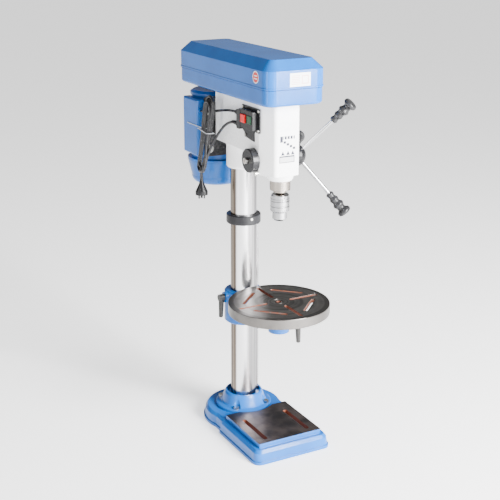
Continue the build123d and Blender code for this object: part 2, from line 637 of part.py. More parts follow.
def chuck_body():
    core = CHUCK_CORE_R
    taper_end = CHUCK_TOP - TAPER_LENGTH
    profile = [(0, CHUCK_BOTTOM), (CHUCK_NOSE_R - 4, CHUCK_BOTTOM), (CHUCK_NOSE_R, CHUCK_BOTTOM + 5),
               (CHUCK_NOSE_R, CHUCK_SLEEVE_BOTTOM - MOVE_GAP), (core, CHUCK_SLEEVE_BOTTOM - MOVE_GAP),
               (core, CHUCK_TOP - 12), (CHUCK_R - 1, CHUCK_TOP - 12), (CHUCK_R - 1, CHUCK_TOP - 3),
               (CHUCK_R - 4, CHUCK_TOP), (TAPER_TOP_R, CHUCK_TOP), (TAPER_END_R, taper_end), (0, taper_end)]
    shape = turned(profile, 0, -THROAT)
    for index in range(3):
        shape -= jaw_place(index * 120 + 90, Pos(0, 0, -20) * jaw_blank(JAW_R + RUN_GAP, 24))
        hole = Pos(CHUCK_R, 0, CHUCK_TOP - 7.5) * Rot(0, 90, 0) * Cylinder(2.2, 14)
        shape -= Pos(0, -THROAT, 0) * Rot(0, 0, index * 120 + 30) * hole
    return shape


def chuck_sleeve():
    low = CHUCK_SLEEVE_BOTTOM
    high = CHUCK_TOP - 12 - MOVE_GAP
    inner = CHUCK_CORE_R + RUN_GAP
    profile = [(inner, low), (CHUCK_R - 4, low), (CHUCK_R, low + 4)]
    for groove in (low + 16, low + 32):
        profile += [(CHUCK_R, groove), (CHUCK_R - 2, groove + 1), (CHUCK_R - 2, groove + 4),
                    (CHUCK_R, groove + 5)]
    profile += [(CHUCK_R, high), (inner, high)]
    sleeve = turned(profile, 0, -THROAT)
    notch = Pos(CHUCK_R, 0, low + 4) * Box(5, 3.2, 9)
    for index in range(24):
        sleeve -= Pos(0, -THROAT, 0) * Rot(0, 0, index * 15) * Pos(0.9, 0, 0) * notch
    return sleeve


# ---- feed -------------------------------------------------------------------------------------------------
def feed_shaft():
    pitch_r = FEED_MODULE * FEED_TEETH / 2
    pinion = toothed_wheel(FEED_TEETH, pitch_r - 2.2, pitch_r + 1.9, 1.7, 0.7, 2 * PINION_HALF)
    shape = Pos(0, FEED_Y, FEED_Z) * Rot(0, 0, 90) * Rot(90, 0, 0) * pinion
    shape += rod_x(FEED_JOURNAL_R, PINION_HALF + 6, HEAD_HALF_WIDTH + 1, FEED_Y, FEED_Z)
    shape += rod_x(FEED_JOURNAL_R, -HEAD_HALF_WIDTH - 1, -PINION_HALF - 6, FEED_Y, FEED_Z)
    shape += rod_x(FEED_END_R, HEAD_HALF_WIDTH + 1, HUB_OUTER_X - 6, FEED_Y, FEED_Z)
    shape += rod_x(9.8, -PINION_HALF - 7, PINION_HALF + 7, FEED_Y, FEED_Z)
    return shape + rod_x(CAP_SHAFT_R, -CAP_OUTER_X - 10, -HEAD_HALF_WIDTH, FEED_Y, FEED_Z)


def handle_direction(index):
    angle = math.radians(HANDLE_FIRST + 120 * index)
    splay = math.radians(HANDLE_SPLAY)
    flat = math.cos(splay)
    return Vector(math.sin(splay), -flat * math.sin(angle), flat * math.cos(angle))


def hub_centre():
    return Vector(HANDLE_ROOT_X, FEED_Y, FEED_Z)


def feed_hub():
    bore = FEED_END_R
    shoulder = HUB_INNER_X + 12
    floor = HUB_OUTER_X - 6
    edge = Line((HUB_INNER_X, bore), (HUB_INNER_X, HUB_R)) + Line((HUB_INNER_X, HUB_R), (shoulder, HUB_R))
    edge += ThreePointArc((shoulder, HUB_R), (HUB_OUTER_X - 9, HUB_R - 9), (HUB_OUTER_X, 10))
    edge += Line((HUB_OUTER_X, 10), (HUB_OUTER_X, 0)) + Line((HUB_OUTER_X, 0), (floor, 0))
    edge += Line((floor, 0), (floor, bore)) + Line((floor, bore), (HUB_INNER_X, bore))
    shape = Pos(0, FEED_Y, FEED_Z) * revolve(make_face(edge), Axis.X)
    for index in range(3):
        start = hub_centre() + handle_direction(index) * HANDLE_START
        hole = Cylinder(ROD_R, 80, align=(Align.CENTER, Align.CENTER, Align.MIN))
        shape -= between(hole, start, handle_direction(index))
    return shape


def feed_rods():
    rods = []
    for index in range(3):
        way = handle_direction(index)
        length = HANDLE_LENGTH - GRIP_LENGTH + 40 - HANDLE_START
        rod = Cylinder(ROD_R, length, align=(Align.CENTER, Align.CENTER, Align.MIN))
        rods.append(between(rod, hub_centre() + way * HANDLE_START, way))
    return Compound(children=rods)


def feed_grips():
    """Turned grips: a taper, three swellings and a mushroom end."""
    outline = Spline((0, 8.5), (7, 11.5), (14, 9.5), (24, 13.5), (33, 11.5), (44, 16.5), (53, 12.5),
                     (59, 12.5), (66, 19.5), (73, 20), (78, 13))
    edge = Line((0, 0), (0, 8.5)) + outline + Line((GRIP_LENGTH, 13), (GRIP_LENGTH, 0))
    edge += Line((GRIP_LENGTH, 0), (0, 0))
    solid = Rot(0, -90, 0) * revolve(make_face(edge), Axis.X)
    solid -= Cylinder(ROD_R, 40, align=(Align.CENTER, Align.CENTER, Align.MIN))
    grips = []
    for index in range(3):
        way = handle_direction(index)
        start = hub_centre() + way * (HANDLE_LENGTH - GRIP_LENGTH)
        grips.append(between(solid, start, way))
    return Compound(children=grips)


def depth_collar():
    """The graduated depth stop, a ring between the head and the hub."""
    shape = rod_x(DEPTH_COLLAR_R, HEAD_HALF_WIDTH + 1.5, HUB_INNER_X - MOVE_GAP, FEED_Y, FEED_Z)
    return shape - rod_x(FEED_END_R + RUN_GAP, HEAD_HALF_WIDTH, HUB_INNER_X, FEED_Y, FEED_Z)


def spring_cap():
    shape = rod_x(CAP_R, -CAP_OUTER_X, -HEAD_HALF_WIDTH, FEED_Y, FEED_Z)
    rim = shape.edges().filter_by(GeomType.CIRCLE).group_by(Axis.X)[0]
    shape = fillet(rim, 3)
    shape -= rod_x(CAP_R - 4, -CAP_OUTER_X + 3, -HEAD_HALF_WIDTH, FEED_Y, FEED_Z)
    return shape - rod_x(CAP_SHAFT_R + MOVE_GAP, -CAP_OUTER_X - 1, -HEAD_HALF_WIDTH, FEED_Y, FEED_Z)


def spring_nuts():
    """Two thin lock nuts that hold the cap on the end of the feed shaft."""
    nuts = []
    for start in (-CAP_OUTER_X - 5, -CAP_OUTER_X - 9.5):
        nut = extrude(Plane(origin=(start, FEED_Y, FEED_Z), z_dir=(1, 0, 0)) * RegularPolygon(9.5, 6), 4.3)
        nuts.append(nut - rod_x(CAP_SHAFT_R, start - 1, start + 6, FEED_Y, FEED_Z))
    return Compound(children=nuts)


# ---- pulleys and belts ------------------------------------------------------------------------------------
def step_radius(step, rising):
    place = PULLEY_STEPS - 1 - step if rising else step
    return PULLEY_LARGE - PULLEY_DROP * place


def step_height(step):
    return PULLEY_BOTTOM + PULLEY_STEP * (step + 0.5)


def stepped_pulley(y, rising, bore):
    """A four-step pulley with a V groove round each step."""
    profile = [(bore, PULLEY_BOTTOM)]
    for step in range(PULLEY_STEPS):
        radius = step_radius(step, rising)
        low = PULLEY_BOTTOM + PULLEY_STEP * step
        mid = step_height(step)
        profile += [(radius, low), (radius, mid - 5.6), (radius - 7.6, mid - 3.9), (radius - 7.6, mid + 3.9),
                    (radius, mid + 5.6), (radius, low + PULLEY_STEP)]
    profile += [(bore, PULLEY_BOTTOM + PULLEY_STEP * PULLEY_STEPS)]
    return turned(profile, 0, y)


def spindle_pulley():
    """The spindle's pulley and the sleeve that turns in the head."""
    bore = SPINDLE_TOP_R + RUN_GAP
    shape = stepped_pulley(-THROAT, False, bore)
    return shape + ring(SLEEVE_R - RUN_GAP, bore, QUILL_TOP + 12, PULLEY_BOTTOM, 0, -THROAT)


def idler_pulley():
    return stepped_pulley(IDLER_Y, True, IDLER_POST_R + RUN_GAP)


def motor_pulley():
    return stepped_pulley(MOTOR_Y, False, MOTOR_SHAFT_R)


def idler_arm():
    """The idler's post on a flat arm that is bolted to the cover pan."""
    low = HEAD_TOP + COVER_SKIN
    shape = block(-22, 22, IDLER_Y - 20, IDLER_Y + 46, low, low + 7)
    shape += ring(IDLER_POST_R, 0, low, PULLEY_BOTTOM + PULLEY_STEP * PULLEY_STEPS + 6, 0, IDLER_Y)
    shape += ring(IDLER_POST_R + 4, 0, low + 7, PULLEY_BOTTOM - MOVE_GAP, 0, IDLER_Y)
    return shape + ring(10, 0, low + 7, low + 12, 0, IDLER_Y + 34)


def belt(y0, r0, y1, r1, z):
    """A V-belt round two wheels whose axes lie on x = 0."""
    gap = y1 - y0
    lean = math.asin((r0 - r1) / gap)
    c, s = math.cos(lean), math.sin(lean)
    right0, right1 = (r0 * c, y0 + r0 * s, z), (r1 * c, y1 + r1 * s, z)
    left0, left1 = (-r0 * c, y0 + r0 * s, z), (-r1 * c, y1 + r1 * s, z)
    path = Wire([Line(right0, right1).edge(), ThreePointArc(right1, (0, y1 + r1, z), left1).edge(),
                 Line(left1, left0).edge(), ThreePointArc(left0, (0, y0 - r0, z), right0).edge()])
    half_out, half_in = BELT_WIDTH / 2, BELT_WIDTH / 2 - 1.7
    plane = Plane(origin=(0, y0 - r0, z), x_dir=(0, -1, 0), z_dir=(1, 0, 0))
    section = make_face(Polyline((0, -half_out), (0, half_out), (-BELT_DEPTH, half_in),
                                 (-BELT_DEPTH, -half_in), close=True))
    return sweep(plane * section, path=path)


def front_belt():
    step = FRONT_BELT_STEP
    front, back = step_radius(step, False) + BELT_PROUD, step_radius(step, True) + BELT_PROUD
    return belt(-THROAT, front, IDLER_Y, back, step_height(step))


def rear_belt():
    step = REAR_BELT_STEP
    front, back = step_radius(step, True) + BELT_PROUD, step_radius(step, False) + BELT_PROUD
    return belt(IDLER_Y, front, MOTOR_Y, back, step_height(step))


# ---- belt cover -------------------------------------------------------------------------------------------
def cover_plan(inset):
    """The cover's plan, a long rectangle with cut corners."""
    width = 2 * (COVER_HALF_WIDTH - inset)
    length = COVER_BACK_Y - COVER_FRONT_Y - 2 * inset
    plan = Pos(0, (COVER_FRONT_Y + COVER_BACK_Y) / 2) * Rectangle(width, length)
    return fillet(plan.vertices(), COVER_CORNER - inset * 0.6)


def cover_pan():
    shape = extrude(Pos(0, 0, HEAD_TOP) * cover_plan(1.5), COVER_SEAM - HEAD_TOP - 1.5)
    shape = fillet(shape.faces().sort_by(Axis.Z)[0].edges(), COVER_BOTTOM_ROUND)
    hollow = extrude(Pos(0, 0, HEAD_TOP + COVER_SKIN) * cover_plan(1.5 + COVER_SKIN), COVER_SEAM)
    shape -= fillet(hollow.faces().sort_by(Axis.Z)[0].edges(), COVER_BOTTOM_ROUND - COVER_SKIN)
    shape -= ring(SLEEVE_R + 1, 0, HEAD_TOP - 1, HEAD_TOP + 5, 0, -THROAT)
    slot = extrude(Rot(0, 0, 90) * SlotOverall(66, 34), 10)
    shape -= Pos(0, MOTOR_Y - 6, HEAD_TOP - 2) * slot
    return shape


def lid_shell(inset):
    low = extrude(Pos(0, 0, COVER_SEAM) * cover_plan(inset), COVER_SHOULDER - COVER_SEAM)
    roof = loft([Pos(0, 0, COVER_SHOULDER) * cover_plan(inset).face(),
                 Pos(0, 0, COVER_TOP - inset) * cover_plan(ROOF_INSET + inset * 0.5).face()])
    return low + roof


def cover_lid():
    shape = lid_shell(0)
    bead = extrude(Pos(0, 0, COVER_SEAM) * cover_plan(-1.2), 5)
    return shape + bead - lid_shell(COVER_SKIN)


def hinge_x(index):
    """The two hinges stand at the ends of the straight part of the cover's back."""
    reach = COVER_HALF_WIDTH - COVER_CORNER - HINGE_HALF
    return reach * (2 * index - 1)


def hinge_y():
    return COVER_BACK_Y + 6.0


def hinge_pan_leaves():
    """Each leaf is screwed to the pan and carries the hinge pin."""
    leaves = []
    for index in range(2):
        x = hinge_x(index)
        leaf = block(x - HINGE_HALF, x + HINGE_HALF, COVER_BACK_Y - 1.5, COVER_BACK_Y + 1.2,
                     COVER_SEAM - 34, COVER_SEAM - 7)
        for side in (-1, 1):
            inner, outer = sorted((x + side * 7.4, x + side * HINGE_HALF))
            knuckle = rod_x(HINGE_KNUCKLE_R, inner, outer, hinge_y(), COVER_SEAM)
            web = block(inner, outer, COVER_BACK_Y - 1.5, hinge_y() + 2, COVER_SEAM - 10, COVER_SEAM - 2.5)
            leaf += knuckle + web
        leaf += rod_x(HINGE_PIN_R, x - HINGE_HALF, x + HINGE_HALF, hinge_y(), COVER_SEAM)
        leaves.append(leaf)
    return Compound(children=leaves)


def hinge_lid_leaves():
    leaves = []
    for index in range(2):
        x = hinge_x(index)
        leaf = block(x - HINGE_HALF + 2, x + HINGE_HALF - 2, COVER_BACK_Y + 1.2, COVER_BACK_Y + 3.4,
                     COVER_SEAM + 8, COVER_SEAM + 34)
        leaf += block(x - 7, x + 7, COVER_BACK_Y + 1.8, hinge_y(), COVER_SEAM + 1, COVER_SEAM + 12)
        leaf += rod_x(HINGE_KNUCKLE_R, x - 7, x + 7, hinge_y(), COVER_SEAM)
        leaves.append(leaf - rod_x(HINGE_PIN_R + RUN_GAP, x - 8, x + 8, hinge_y(), COVER_SEAM))
    return Compound(children=leaves)


def latch_knob():
    """The quarter-turn catch at the front right of the seam."""
    x = COVER_HALF_WIDTH + 2.2
    shape = rod_x(10, x, x + 12, COVER_FRONT_Y + 70, COVER_SEAM - 16)
    shape += block(x, x + 4, COVER_FRONT_Y + 64, COVER_FRONT_Y + 76, COVER_SEAM - 16, COVER_SEAM + 8)
    return shape + rod_x(3, COVER_HALF_WIDTH - 1.5, x, COVER_FRONT_Y + 70, COVER_SEAM - 16)


# ---- motor ------------------------------------------------------------------------------------------------
def motor_body():
    shape = ring(MOTOR_R, 0, MOTOR_BOTTOM, MOTOR_TOP - 14, 0, MOTOR_Y)
    for index in range(MOTOR_RIBS):
        groove = Box(9, 6, MOTOR_TOP - MOTOR_BOTTOM - 70)
        groove = Pos(MOTOR_R + 1, 0, (MOTOR_BOTTOM + MOTOR_TOP) / 2) * groove
        shape -= Pos(0, MOTOR_Y, 0) * Rot(0, 0, index * 360 / MOTOR_RIBS) * groove
    cap = turned([(0, MOTOR_TOP - 14), (MOTOR_R + 3, MOTOR_TOP - 14), (MOTOR_R + 3, MOTOR_TOP - 6),
                  (MOTOR_R - 6, MOTOR_TOP), (0, MOTOR_TOP)], 0, MOTOR_Y)
    shape -= ring(MOTOR_R - MOTOR_WALL, 0, MOTOR_BOTTOM + 8, MOTOR_TOP - 20, 0, MOTOR_Y)
    shape += cap + block(-55, 55, PLATE_Y + PLATE_THICK, MOTOR_Y - MOTOR_R + 8, 850, 1000)
    return shape - ring(MOTOR_SHAFT_R + RUN_GAP, 0, 900, MOTOR_TOP + 1, 0, MOTOR_Y)


def fan_cowl():
    top = MOTOR_BOTTOM - 0.2
    outer = Line((0, 0, COWL_BOTTOM), (COWL_R - 40, 0, COWL_BOTTOM)) + ThreePointArc(
        (COWL_R - 40, 0, COWL_BOTTOM), (COWL_R - 18, 0, COWL_BOTTOM + 8), (COWL_R - 12, 0, COWL_BOTTOM + 26))
    outer += Line((COWL_R - 12, 0, COWL_BOTTOM + 26), (COWL_R, 0, top - 8))
    outer += Line((COWL_R, 0, top - 8), (COWL_R, 0, top)) + Line((COWL_R, 0, top), (0, 0, top))
    outer += Line((0, 0, top), (0, 0, COWL_BOTTOM))
    shape = Pos(0, MOTOR_Y, 0) * revolve(make_face(outer), Axis.Z)
    inner = [(0, COWL_BOTTOM + 3), (COWL_R - 22, COWL_BOTTOM + 12), (COWL_R - 4, top - 8),
             (COWL_R - 4, top - 3), (0, top - 3)]
    shape -= turned(inner, 0, MOTOR_Y)
    for radius in (22, 40):
        for index in range(int(radius / 3)):
            vent = Pos(radius, 0, COWL_BOTTOM) * Box(11, 4, 14)
            shape -= Pos(0, MOTOR_Y, 0) * Rot(0, 0, index * 360 / int(radius / 3)) * vent
    return shape


def terminal_box():
    """A box on the motor's side, fitted to its round shell, with the cable's gland in front."""
    low, high = BOX_Z
    shape = block(BOX_X0, BOX_X1, BOX_Y0, BOX_Y1, low, high)
    shape = chamfer(shape.edges().group_by(Axis.X)[0], 4)
    shape -= block(BOX_X0 + BOX_WALL, BOX_X1, BOX_Y0 + BOX_WALL, BOX_Y1 - BOX_WALL,
                   low + BOX_WALL, high - BOX_WALL)
    mouth = BOX_Y0 - BOX_GLAND_LENGTH
    shape += rod_y(BOX_GLAND_R, mouth, BOX_Y0 + 1, BOX_GLAND_X, BOX_GLAND_Z)
    shape -= ring(MOTOR_R + 3, 0, low - 2, high + 4, 0, MOTOR_Y)
    return shape - rod_y(CORD_R + CORD_GAP, mouth - 1, BOX_Y0 + 20, BOX_GLAND_X, BOX_GLAND_Z)


def motor_plate():
    shape = block(-PLATE_HALF, PLATE_HALF, PLATE_Y, PLATE_Y + PLATE_THICK, 842, 1026)
    shape = fillet(shape.edges().filter_by(Axis.Y), 8)
    for side in (-1, 1):
        shape -= rod_y(SLIDE_ROD_R, PLATE_Y - 1, PLATE_Y + 20, side * ROD_X, SLIDE_ROD_Z)
        for z in PLATE_BOLT_Z:
            shape -= rod_y(PLATE_BOLT_R, PLATE_Y - 1, PLATE_Y + 20, side * PLATE_BOLT_X, z)
    return shape


def motor_bolts():
    bolts = []
    for side in (-1, 1):
        for z in PLATE_BOLT_Z:
            bolt = hexagon_bolt(9, 7, PLATE_BOLT_R, PLATE_THICK + PLATE_BOLT_TIP)
            bolt += Pos(0, 0, 1) * Cylinder(13, 2)
            bolts.append(Pos(side * PLATE_BOLT_X, PLATE_Y, z) * Rot(90, 0, 0) * bolt)
    return Compound(children=bolts)


def slide_rods():
    rods = []
    for side in (-1, 1):
        rods.append(rod_y(SLIDE_ROD_R, SLIDE_ROD_START, PLATE_Y + PLATE_THICK, side * ROD_X, SLIDE_ROD_Z))
    return Compound(children=rods)


def motor_shaft():
    top = PULLEY_BOTTOM + PULLEY_STEP * PULLEY_STEPS
    return ring(MOTOR_SHAFT_R, 0, 905, top + 4, 0, MOTOR_Y)


def tension_knob():
    """The wing-headed screw that locks the motor's slide rods, on the right of the head."""
    x = ROD_X + ROD_BOSS_R + 6
    shape = rod_x(TENSION_R, ROD_X + SLIDE_ROD_R + 0.5, x, TENSION_Y, SLIDE_ROD_Z)
    shape += rod_x(14, x, x + 18, TENSION_Y, SLIDE_ROD_Z)
    return shape + block(x + 4, x + 16, TENSION_Y - 24, TENSION_Y + 24, SLIDE_ROD_Z - 4, SLIDE_ROD_Z + 4)


# ---- switch -----------------------------------------------------------------------------------------------
def switch_plate():
    outline = Polyline((-113, 1035), (-113, 966), (-128, 956), (-128, 944), (-185, 937), (-185, 966),
                       (-218, 966), (-218, 1035), close=True)
    shape = extrude(Plane.YZ * make_face(outline), SWITCH_PLATE_THICK, dir=(-1, 0, 0))
    shape = Pos(-HEAD_HALF_WIDTH, 0, 0) * shape
    for y, z in PLATE_SCREWS:
        shape -= rod_x(SWITCH_SCREW_R, SWITCH_PLATE_X - 5, SWITCH_PLATE_X + 5, y, z)
    return shape


def switch_box():
    shape = block(SWITCH_BOX_X, SWITCH_PLATE_X, -204, -120, 972, 1026)
    shape = fillet(shape.edges().filter_by(Axis.X), 3)
    rear = block(SWITCH_BOX_X - 1, SWITCH_PLATE_X, -130, GLAND_Y, 966, 1022)
    shape += fillet(rear.edges().filter_by(Axis.X), 3)
    for y in (STOP_Y, START_Y):
        shape -= block(SWITCH_BOX_X - 2, SWITCH_BOX_X + 11, y - BUTTON_HALF - 0.4, y + BUTTON_HALF + 0.4,
                       BUTTON_Z - BUTTON_HALF - 0.4, BUTTON_Z + BUTTON_HALF + 0.4)
    for z in GLAND_Z:
        shape -= rod_y(CORD_R + CORD_GAP, -118, -100, GLAND_X, z)
    return shape


def button(y, proud):
    shape = block(SWITCH_BOX_X - proud, SWITCH_BOX_X + 7, y - BUTTON_HALF, y + BUTTON_HALF,
                  BUTTON_Z - BUTTON_HALF, BUTTON_Z + BUTTON_HALF)
    return fillet(shape.edges().group_by(Axis.X)[0], 1.5)


def switch_screws():
    screws = []
    for y, z in PLATE_SCREWS:
        head = rod_x(4.2, -HEAD_HALF_WIDTH - 5.5, -HEAD_HALF_WIDTH - 3, y, z)
        screws.append(head + rod_x(SWITCH_SCREW_R, SWITCH_PLATE_X, -HEAD_HALF_WIDTH, y, z))
    return Compound(children=screws)


def cable_glands():
    glands = []
    for z in GLAND_Z:
        sleeve = rod_y(GLAND_R, GLAND_Y, GLAND_Y + GLAND_LENGTH, GLAND_X, z)
        sleeve += rod_y(GLAND_R + 1.5, GLAND_Y, GLAND_Y + 4, GLAND_X, z)
        glands.append(sleeve - rod_y(CORD_R + CORD_GAP, GLAND_Y - 1, GLAND_Y + GLAND_LENGTH + 1, GLAND_X, z))
    return Compound(children=glands)


# ---- cords ------------------------------------------------------------------------------------------------
def corner_radii(points):
    """0.45 of the shorter run at each corner, divided by the tangent of half the turn."""
    radii = []
    for before, here, after in zip(points, points[1:], points[2:]):
        run_in = Vector(*here) - Vector(*before)
        run_out = Vector(*after) - Vector(*here)
        half_turn = math.radians(run_in.get_angle(run_out)) / 2
        radii.append(0.45 * min(run_in.length, run_out.length) / math.tan(half_turn))
    return radii


def cord_tube(points, name):
    radii = corner_radii(points)
    path = FilletPolyline(*points, radius=radii)
    start = Plane(origin=path @ 0, z_dir=path % 0)
    tube = sweep(start * Circle(CORD_R), path=path)
    ideal = math.pi * CORD_R ** 2 * path.length
    print(name, "length", round(path.length, 1), "radii", [round(r) for r in radii],
          "volume ratio", round(tube.volume / ideal, 4))
    return tube


def hank_place():
    """The hank hangs askew: its foot is further back and further from the head."""
    return Pos(*HANK_CENTRE) * Rot(HANK_LEAN_X, HANK_LEAN_Y, 0)


def cord_hank():
    """The outer shape of the bundled cord."""
    shape = Box(*HANK_SIZE)
    shape = fillet(shape.edges().filter_by(Axis.X), HANK_ROUND)
    return hank_place() * fillet(shape.edges().group_by(Axis.X)[0], 8)


def cord_tie():
    """A thin tie round the hank, with a straight tail along the terminal box."""
    wide, deep = HANK_SIZE[0] + 4, HANK_SIZE[1] + 4
    loop = Box(wide, deep, TIE_WIDTH) - Box(wide - 2 * TIE_WIDTH, deep - 2 * TIE_WIDTH, 2 * TIE_WIDTH)
    loop = hank_place() * Pos(0, 0, TIE_Z) * loop
    knot = (hank_place() * Pos(0, deep / 2 - TIE_WIDTH / 2, TIE_Z)).position
    x = BOX_X0 - 0.7
    half = TIE_WIDTH / 2
    return loop + block(x - TIE_WIDTH, x, knot.Y, TIE_TAIL_END_Y, knot.Z - half, knot.Z + half)


def power_plug():
    """A moulded plug, its neck upwards: a drop that widens to a flat end with three pins."""
    place = Pos(*PLUG_TOP) * Rot(0, 0, PLUG_TURN)
    wide = Ellipse(19, 14)
    shape = place * Pos(0, 0, -8) * Cone(9, 5.5, 16)
    shape += place * loft([Pos(0, 0, -14) * Ellipse(9, 8.5).face(), Pos(0, 0, -36) * wide.face()])
    shape += place * extrude(Pos(0, 0, -36) * wide, -11)
    for x, y, turn in ((-8, 0, 30), (8, 0, -30), (0, 6, 90)):
        shape += place * Pos(x, y, -52) * Rot(0, 0, turn) * Box(1.8, 6.5, 14)
    return shape


def main():
    os.makedirs("parts", exist_ok=True)
    nodes = {
        "base_casting": base_casting, "column_flange": column_flange, "flange_bolts": flange_bolts,
        "column_tube": column_tube, "rack_ring": rack_ring, "lock_screws": lock_screws,
        "column_rack": column_rack, "table_bracket": table_bracket, "elevation_gear": elevation_gear,
        "elevation_crank": elevation_crank, "crank_grip": crank_grip, "clamp_lever": clamp_lever,
        "table_lock_lever": table_lock_lever, "round_table": round_table, "head_casting": head_casting,
        "quill": quill, "spindle": spindle, "chuck_body": chuck_body, "chuck_sleeve": chuck_sleeve,
        "feed_shaft": feed_shaft, "feed_hub": feed_hub, "feed_rods": feed_rods, "feed_grips": feed_grips,
        "depth_collar": depth_collar, "spring_cap": spring_cap, "spring_nuts": spring_nuts,
        "spindle_pulley": spindle_pulley, "idler_pulley": idler_pulley,
        "motor_pulley": motor_pulley, "idler_arm": idler_arm, "front_belt": front_belt, "rear_belt": rear_belt,
        "cover_pan": cover_pan, "cover_lid": cover_lid, "hinge_pan_leaves": hinge_pan_leaves,
        "hinge_lid_leaves": hinge_lid_leaves, "latch_knob": latch_knob, "motor_body": motor_body,
        "fan_cowl": fan_cowl, "terminal_box": terminal_box, "motor_plate": motor_plate,
        "motor_bolts": motor_bolts, "slide_rods": slide_rods, "motor_shaft": motor_shaft,
        "tension_knob": tension_knob, "switch_plate": switch_plate, "switch_box": switch_box,
        "switch_screws": switch_screws, "cable_glands": cable_glands, "cord_hank": cord_hank,
        "cord_tie": cord_tie, "power_plug": power_plug,
    }
    for index in range(3):
        nodes[f"chuck_jaw_{index + 1}"] = lambda index=index: chuck_jaw(index)
    nodes["stop_button"] = lambda: button(STOP_Y, 5)
    nodes["start_button"] = lambda: button(START_Y, 2)
    nodes["motor_cable"] = lambda: cord_tube(MOTOR_CABLE_POINTS, "motor_cable")
    nodes["mains_cord"] = lambda: cord_tube(MAINS_POINTS, "mains_cord")
    nodes["plug_lead"] = lambda: cord_tube(PLUG_LEAD_POINTS, "plug_lead")
    for name, make in nodes.items():
        export_step(make(), f"parts/{name}.step")


main()
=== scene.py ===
# %% [markdown]
# # A floor-standing drill press
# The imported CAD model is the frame: every casting, shaft and lever is already the right size and in the right
# place. This lesson gives each of them its finish, then adds what a CAD model leaves plain: the cord in its
# hank, the strain reliefs, the printed chart and the labels.

# %% Load the frame
import bpy
import bmesh
import math
from mathutils import Matrix, Vector


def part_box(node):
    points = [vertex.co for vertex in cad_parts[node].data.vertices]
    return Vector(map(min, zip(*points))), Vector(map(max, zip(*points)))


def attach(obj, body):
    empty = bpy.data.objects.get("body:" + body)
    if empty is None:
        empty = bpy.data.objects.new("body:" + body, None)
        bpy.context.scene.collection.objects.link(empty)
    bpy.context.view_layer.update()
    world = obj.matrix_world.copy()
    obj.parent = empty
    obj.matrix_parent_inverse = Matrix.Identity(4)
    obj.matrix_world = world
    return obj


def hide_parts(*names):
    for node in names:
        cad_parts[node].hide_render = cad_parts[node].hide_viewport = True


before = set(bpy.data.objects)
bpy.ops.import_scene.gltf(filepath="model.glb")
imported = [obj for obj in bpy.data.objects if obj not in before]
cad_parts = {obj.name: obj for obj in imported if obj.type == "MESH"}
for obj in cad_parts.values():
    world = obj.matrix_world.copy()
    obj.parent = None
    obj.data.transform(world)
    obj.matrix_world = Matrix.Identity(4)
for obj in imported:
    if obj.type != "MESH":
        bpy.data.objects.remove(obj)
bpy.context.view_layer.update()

# %% [markdown]
# ## Camera
# The press is seen from its front left and from above its belt cover. A long lens keeps the column straight.
# The camera looks a little down, and a small shift brings the whole height into the square picture.

# %% Camera
LENS_MM = 76.2
VIEW_TURN = math.radians(-28.0)
VIEW_DISTANCE = 3.124
VIEW_HEIGHT = 1.557
VIEW_PITCH = math.radians(15.35)
SHIFT_X, SHIFT_Y = 0.013, -0.09

camera_data = bpy.data.cameras.new("camera")
camera_data.lens = LENS_MM
camera_data.sensor_width = 36.0
camera_data.shift_x = SHIFT_X
camera_data.shift_y = SHIFT_Y
camera = bpy.data.objects.new("camera", camera_data)
bpy.context.scene.collection.objects.link(camera)
camera.location = (VIEW_DISTANCE * math.sin(VIEW_TURN), -VIEW_DISTANCE * math.cos(VIEW_TURN), VIEW_HEIGHT)
camera.rotation_euler = (math.pi / 2 - VIEW_PITCH, 0, VIEW_TURN)
bpy.context.scene.camera = camera
print("camera at", [round(v, 2) for v in camera.location])

# %% [markdown]
# ## The mains lead
# A lead that is sold with a machine is folded into a hank and tied. It is one length of cord, so it is one
# curve: out of its gland, down the front of the hank, round its long loops, and down to the plug. The loops
# come from a formula, and the rest of the route is a short list of points.

# %% Points of the mains lead
CORD_RADIUS = 0.004
LEAD_START = [(-0.073, -0.095, 0.978), (-0.073, -0.068, 0.977), (-0.077, -0.038, 0.966),
              (-0.088, -0.018, 0.942), (-0.098, -0.004, 0.914), (-0.104, 0.018, 0.884)]
PLUG_LEAD = [(-0.116, 0.040, 0.835), (-0.118, 0.049, 0.808), (-0.117, 0.052, 0.794), (-0.114, 0.057, 0.779),
             (-0.114, 0.057, 0.766)]
TURNS = 4
POINTS_PER_TURN = 16
FIRST_STEP, LAST_STEP = 13, TURNS * POINTS_PER_TURN + 12
HANK_WIDTH, HANK_DEPTH, HANK_TALL = 0.024, 0.056, 0.246
HANK_PLACE = (Matrix.Translation((-0.110, 0.035, 0.923)) @ Matrix.Rotation(math.radians(7.0), 4, "X")
              @ Matrix.Rotation(math.radians(4.2), 4, "Y"))
SPARE = CORD_RADIUS + 0.0008
# For each turn: how much narrower and shorter it is than the hank, and how far its ends fan out.
NARROWER = (0.0, 0.0030, 0.0010, 0.0040)
SHORTER = (0.002, 0.018, 0.0, 0.011)
ASIDE = (0.0, -0.0040, 0.0035, 0.0018)
SIDE_STEEPNESS = 2.7
WAIST_DRAW = 0.20


def hank_point(step):
    """A control point of the loops: a fold at each end, one point half way along each side."""
    turn, share = (step // POINTS_PER_TURN) % TURNS, 2 * math.pi * step / POINTS_PER_TURN
    wide = HANK_DEPTH / 2 - SPARE - NARROWER[turn]
    straight = HANK_TALL / 2 - SPARE - wide - SHORTER[turn]
    end = max(-1.0, min(1.0, SIDE_STEEPNESS * math.cos(share)))
    waist = 1.0 - WAIST_DRAW * (1.0 - abs(end))
    x = -HANK_WIDTH / 2 + SPARE + (step / LAST_STEP) * (HANK_WIDTH - 2 * SPARE)
    y = wide * math.sin(share) * waist + ASIDE[turn] * end
    return tuple(HANK_PLACE @ Vector((x, y, -wide * math.cos(share) - straight * end)))


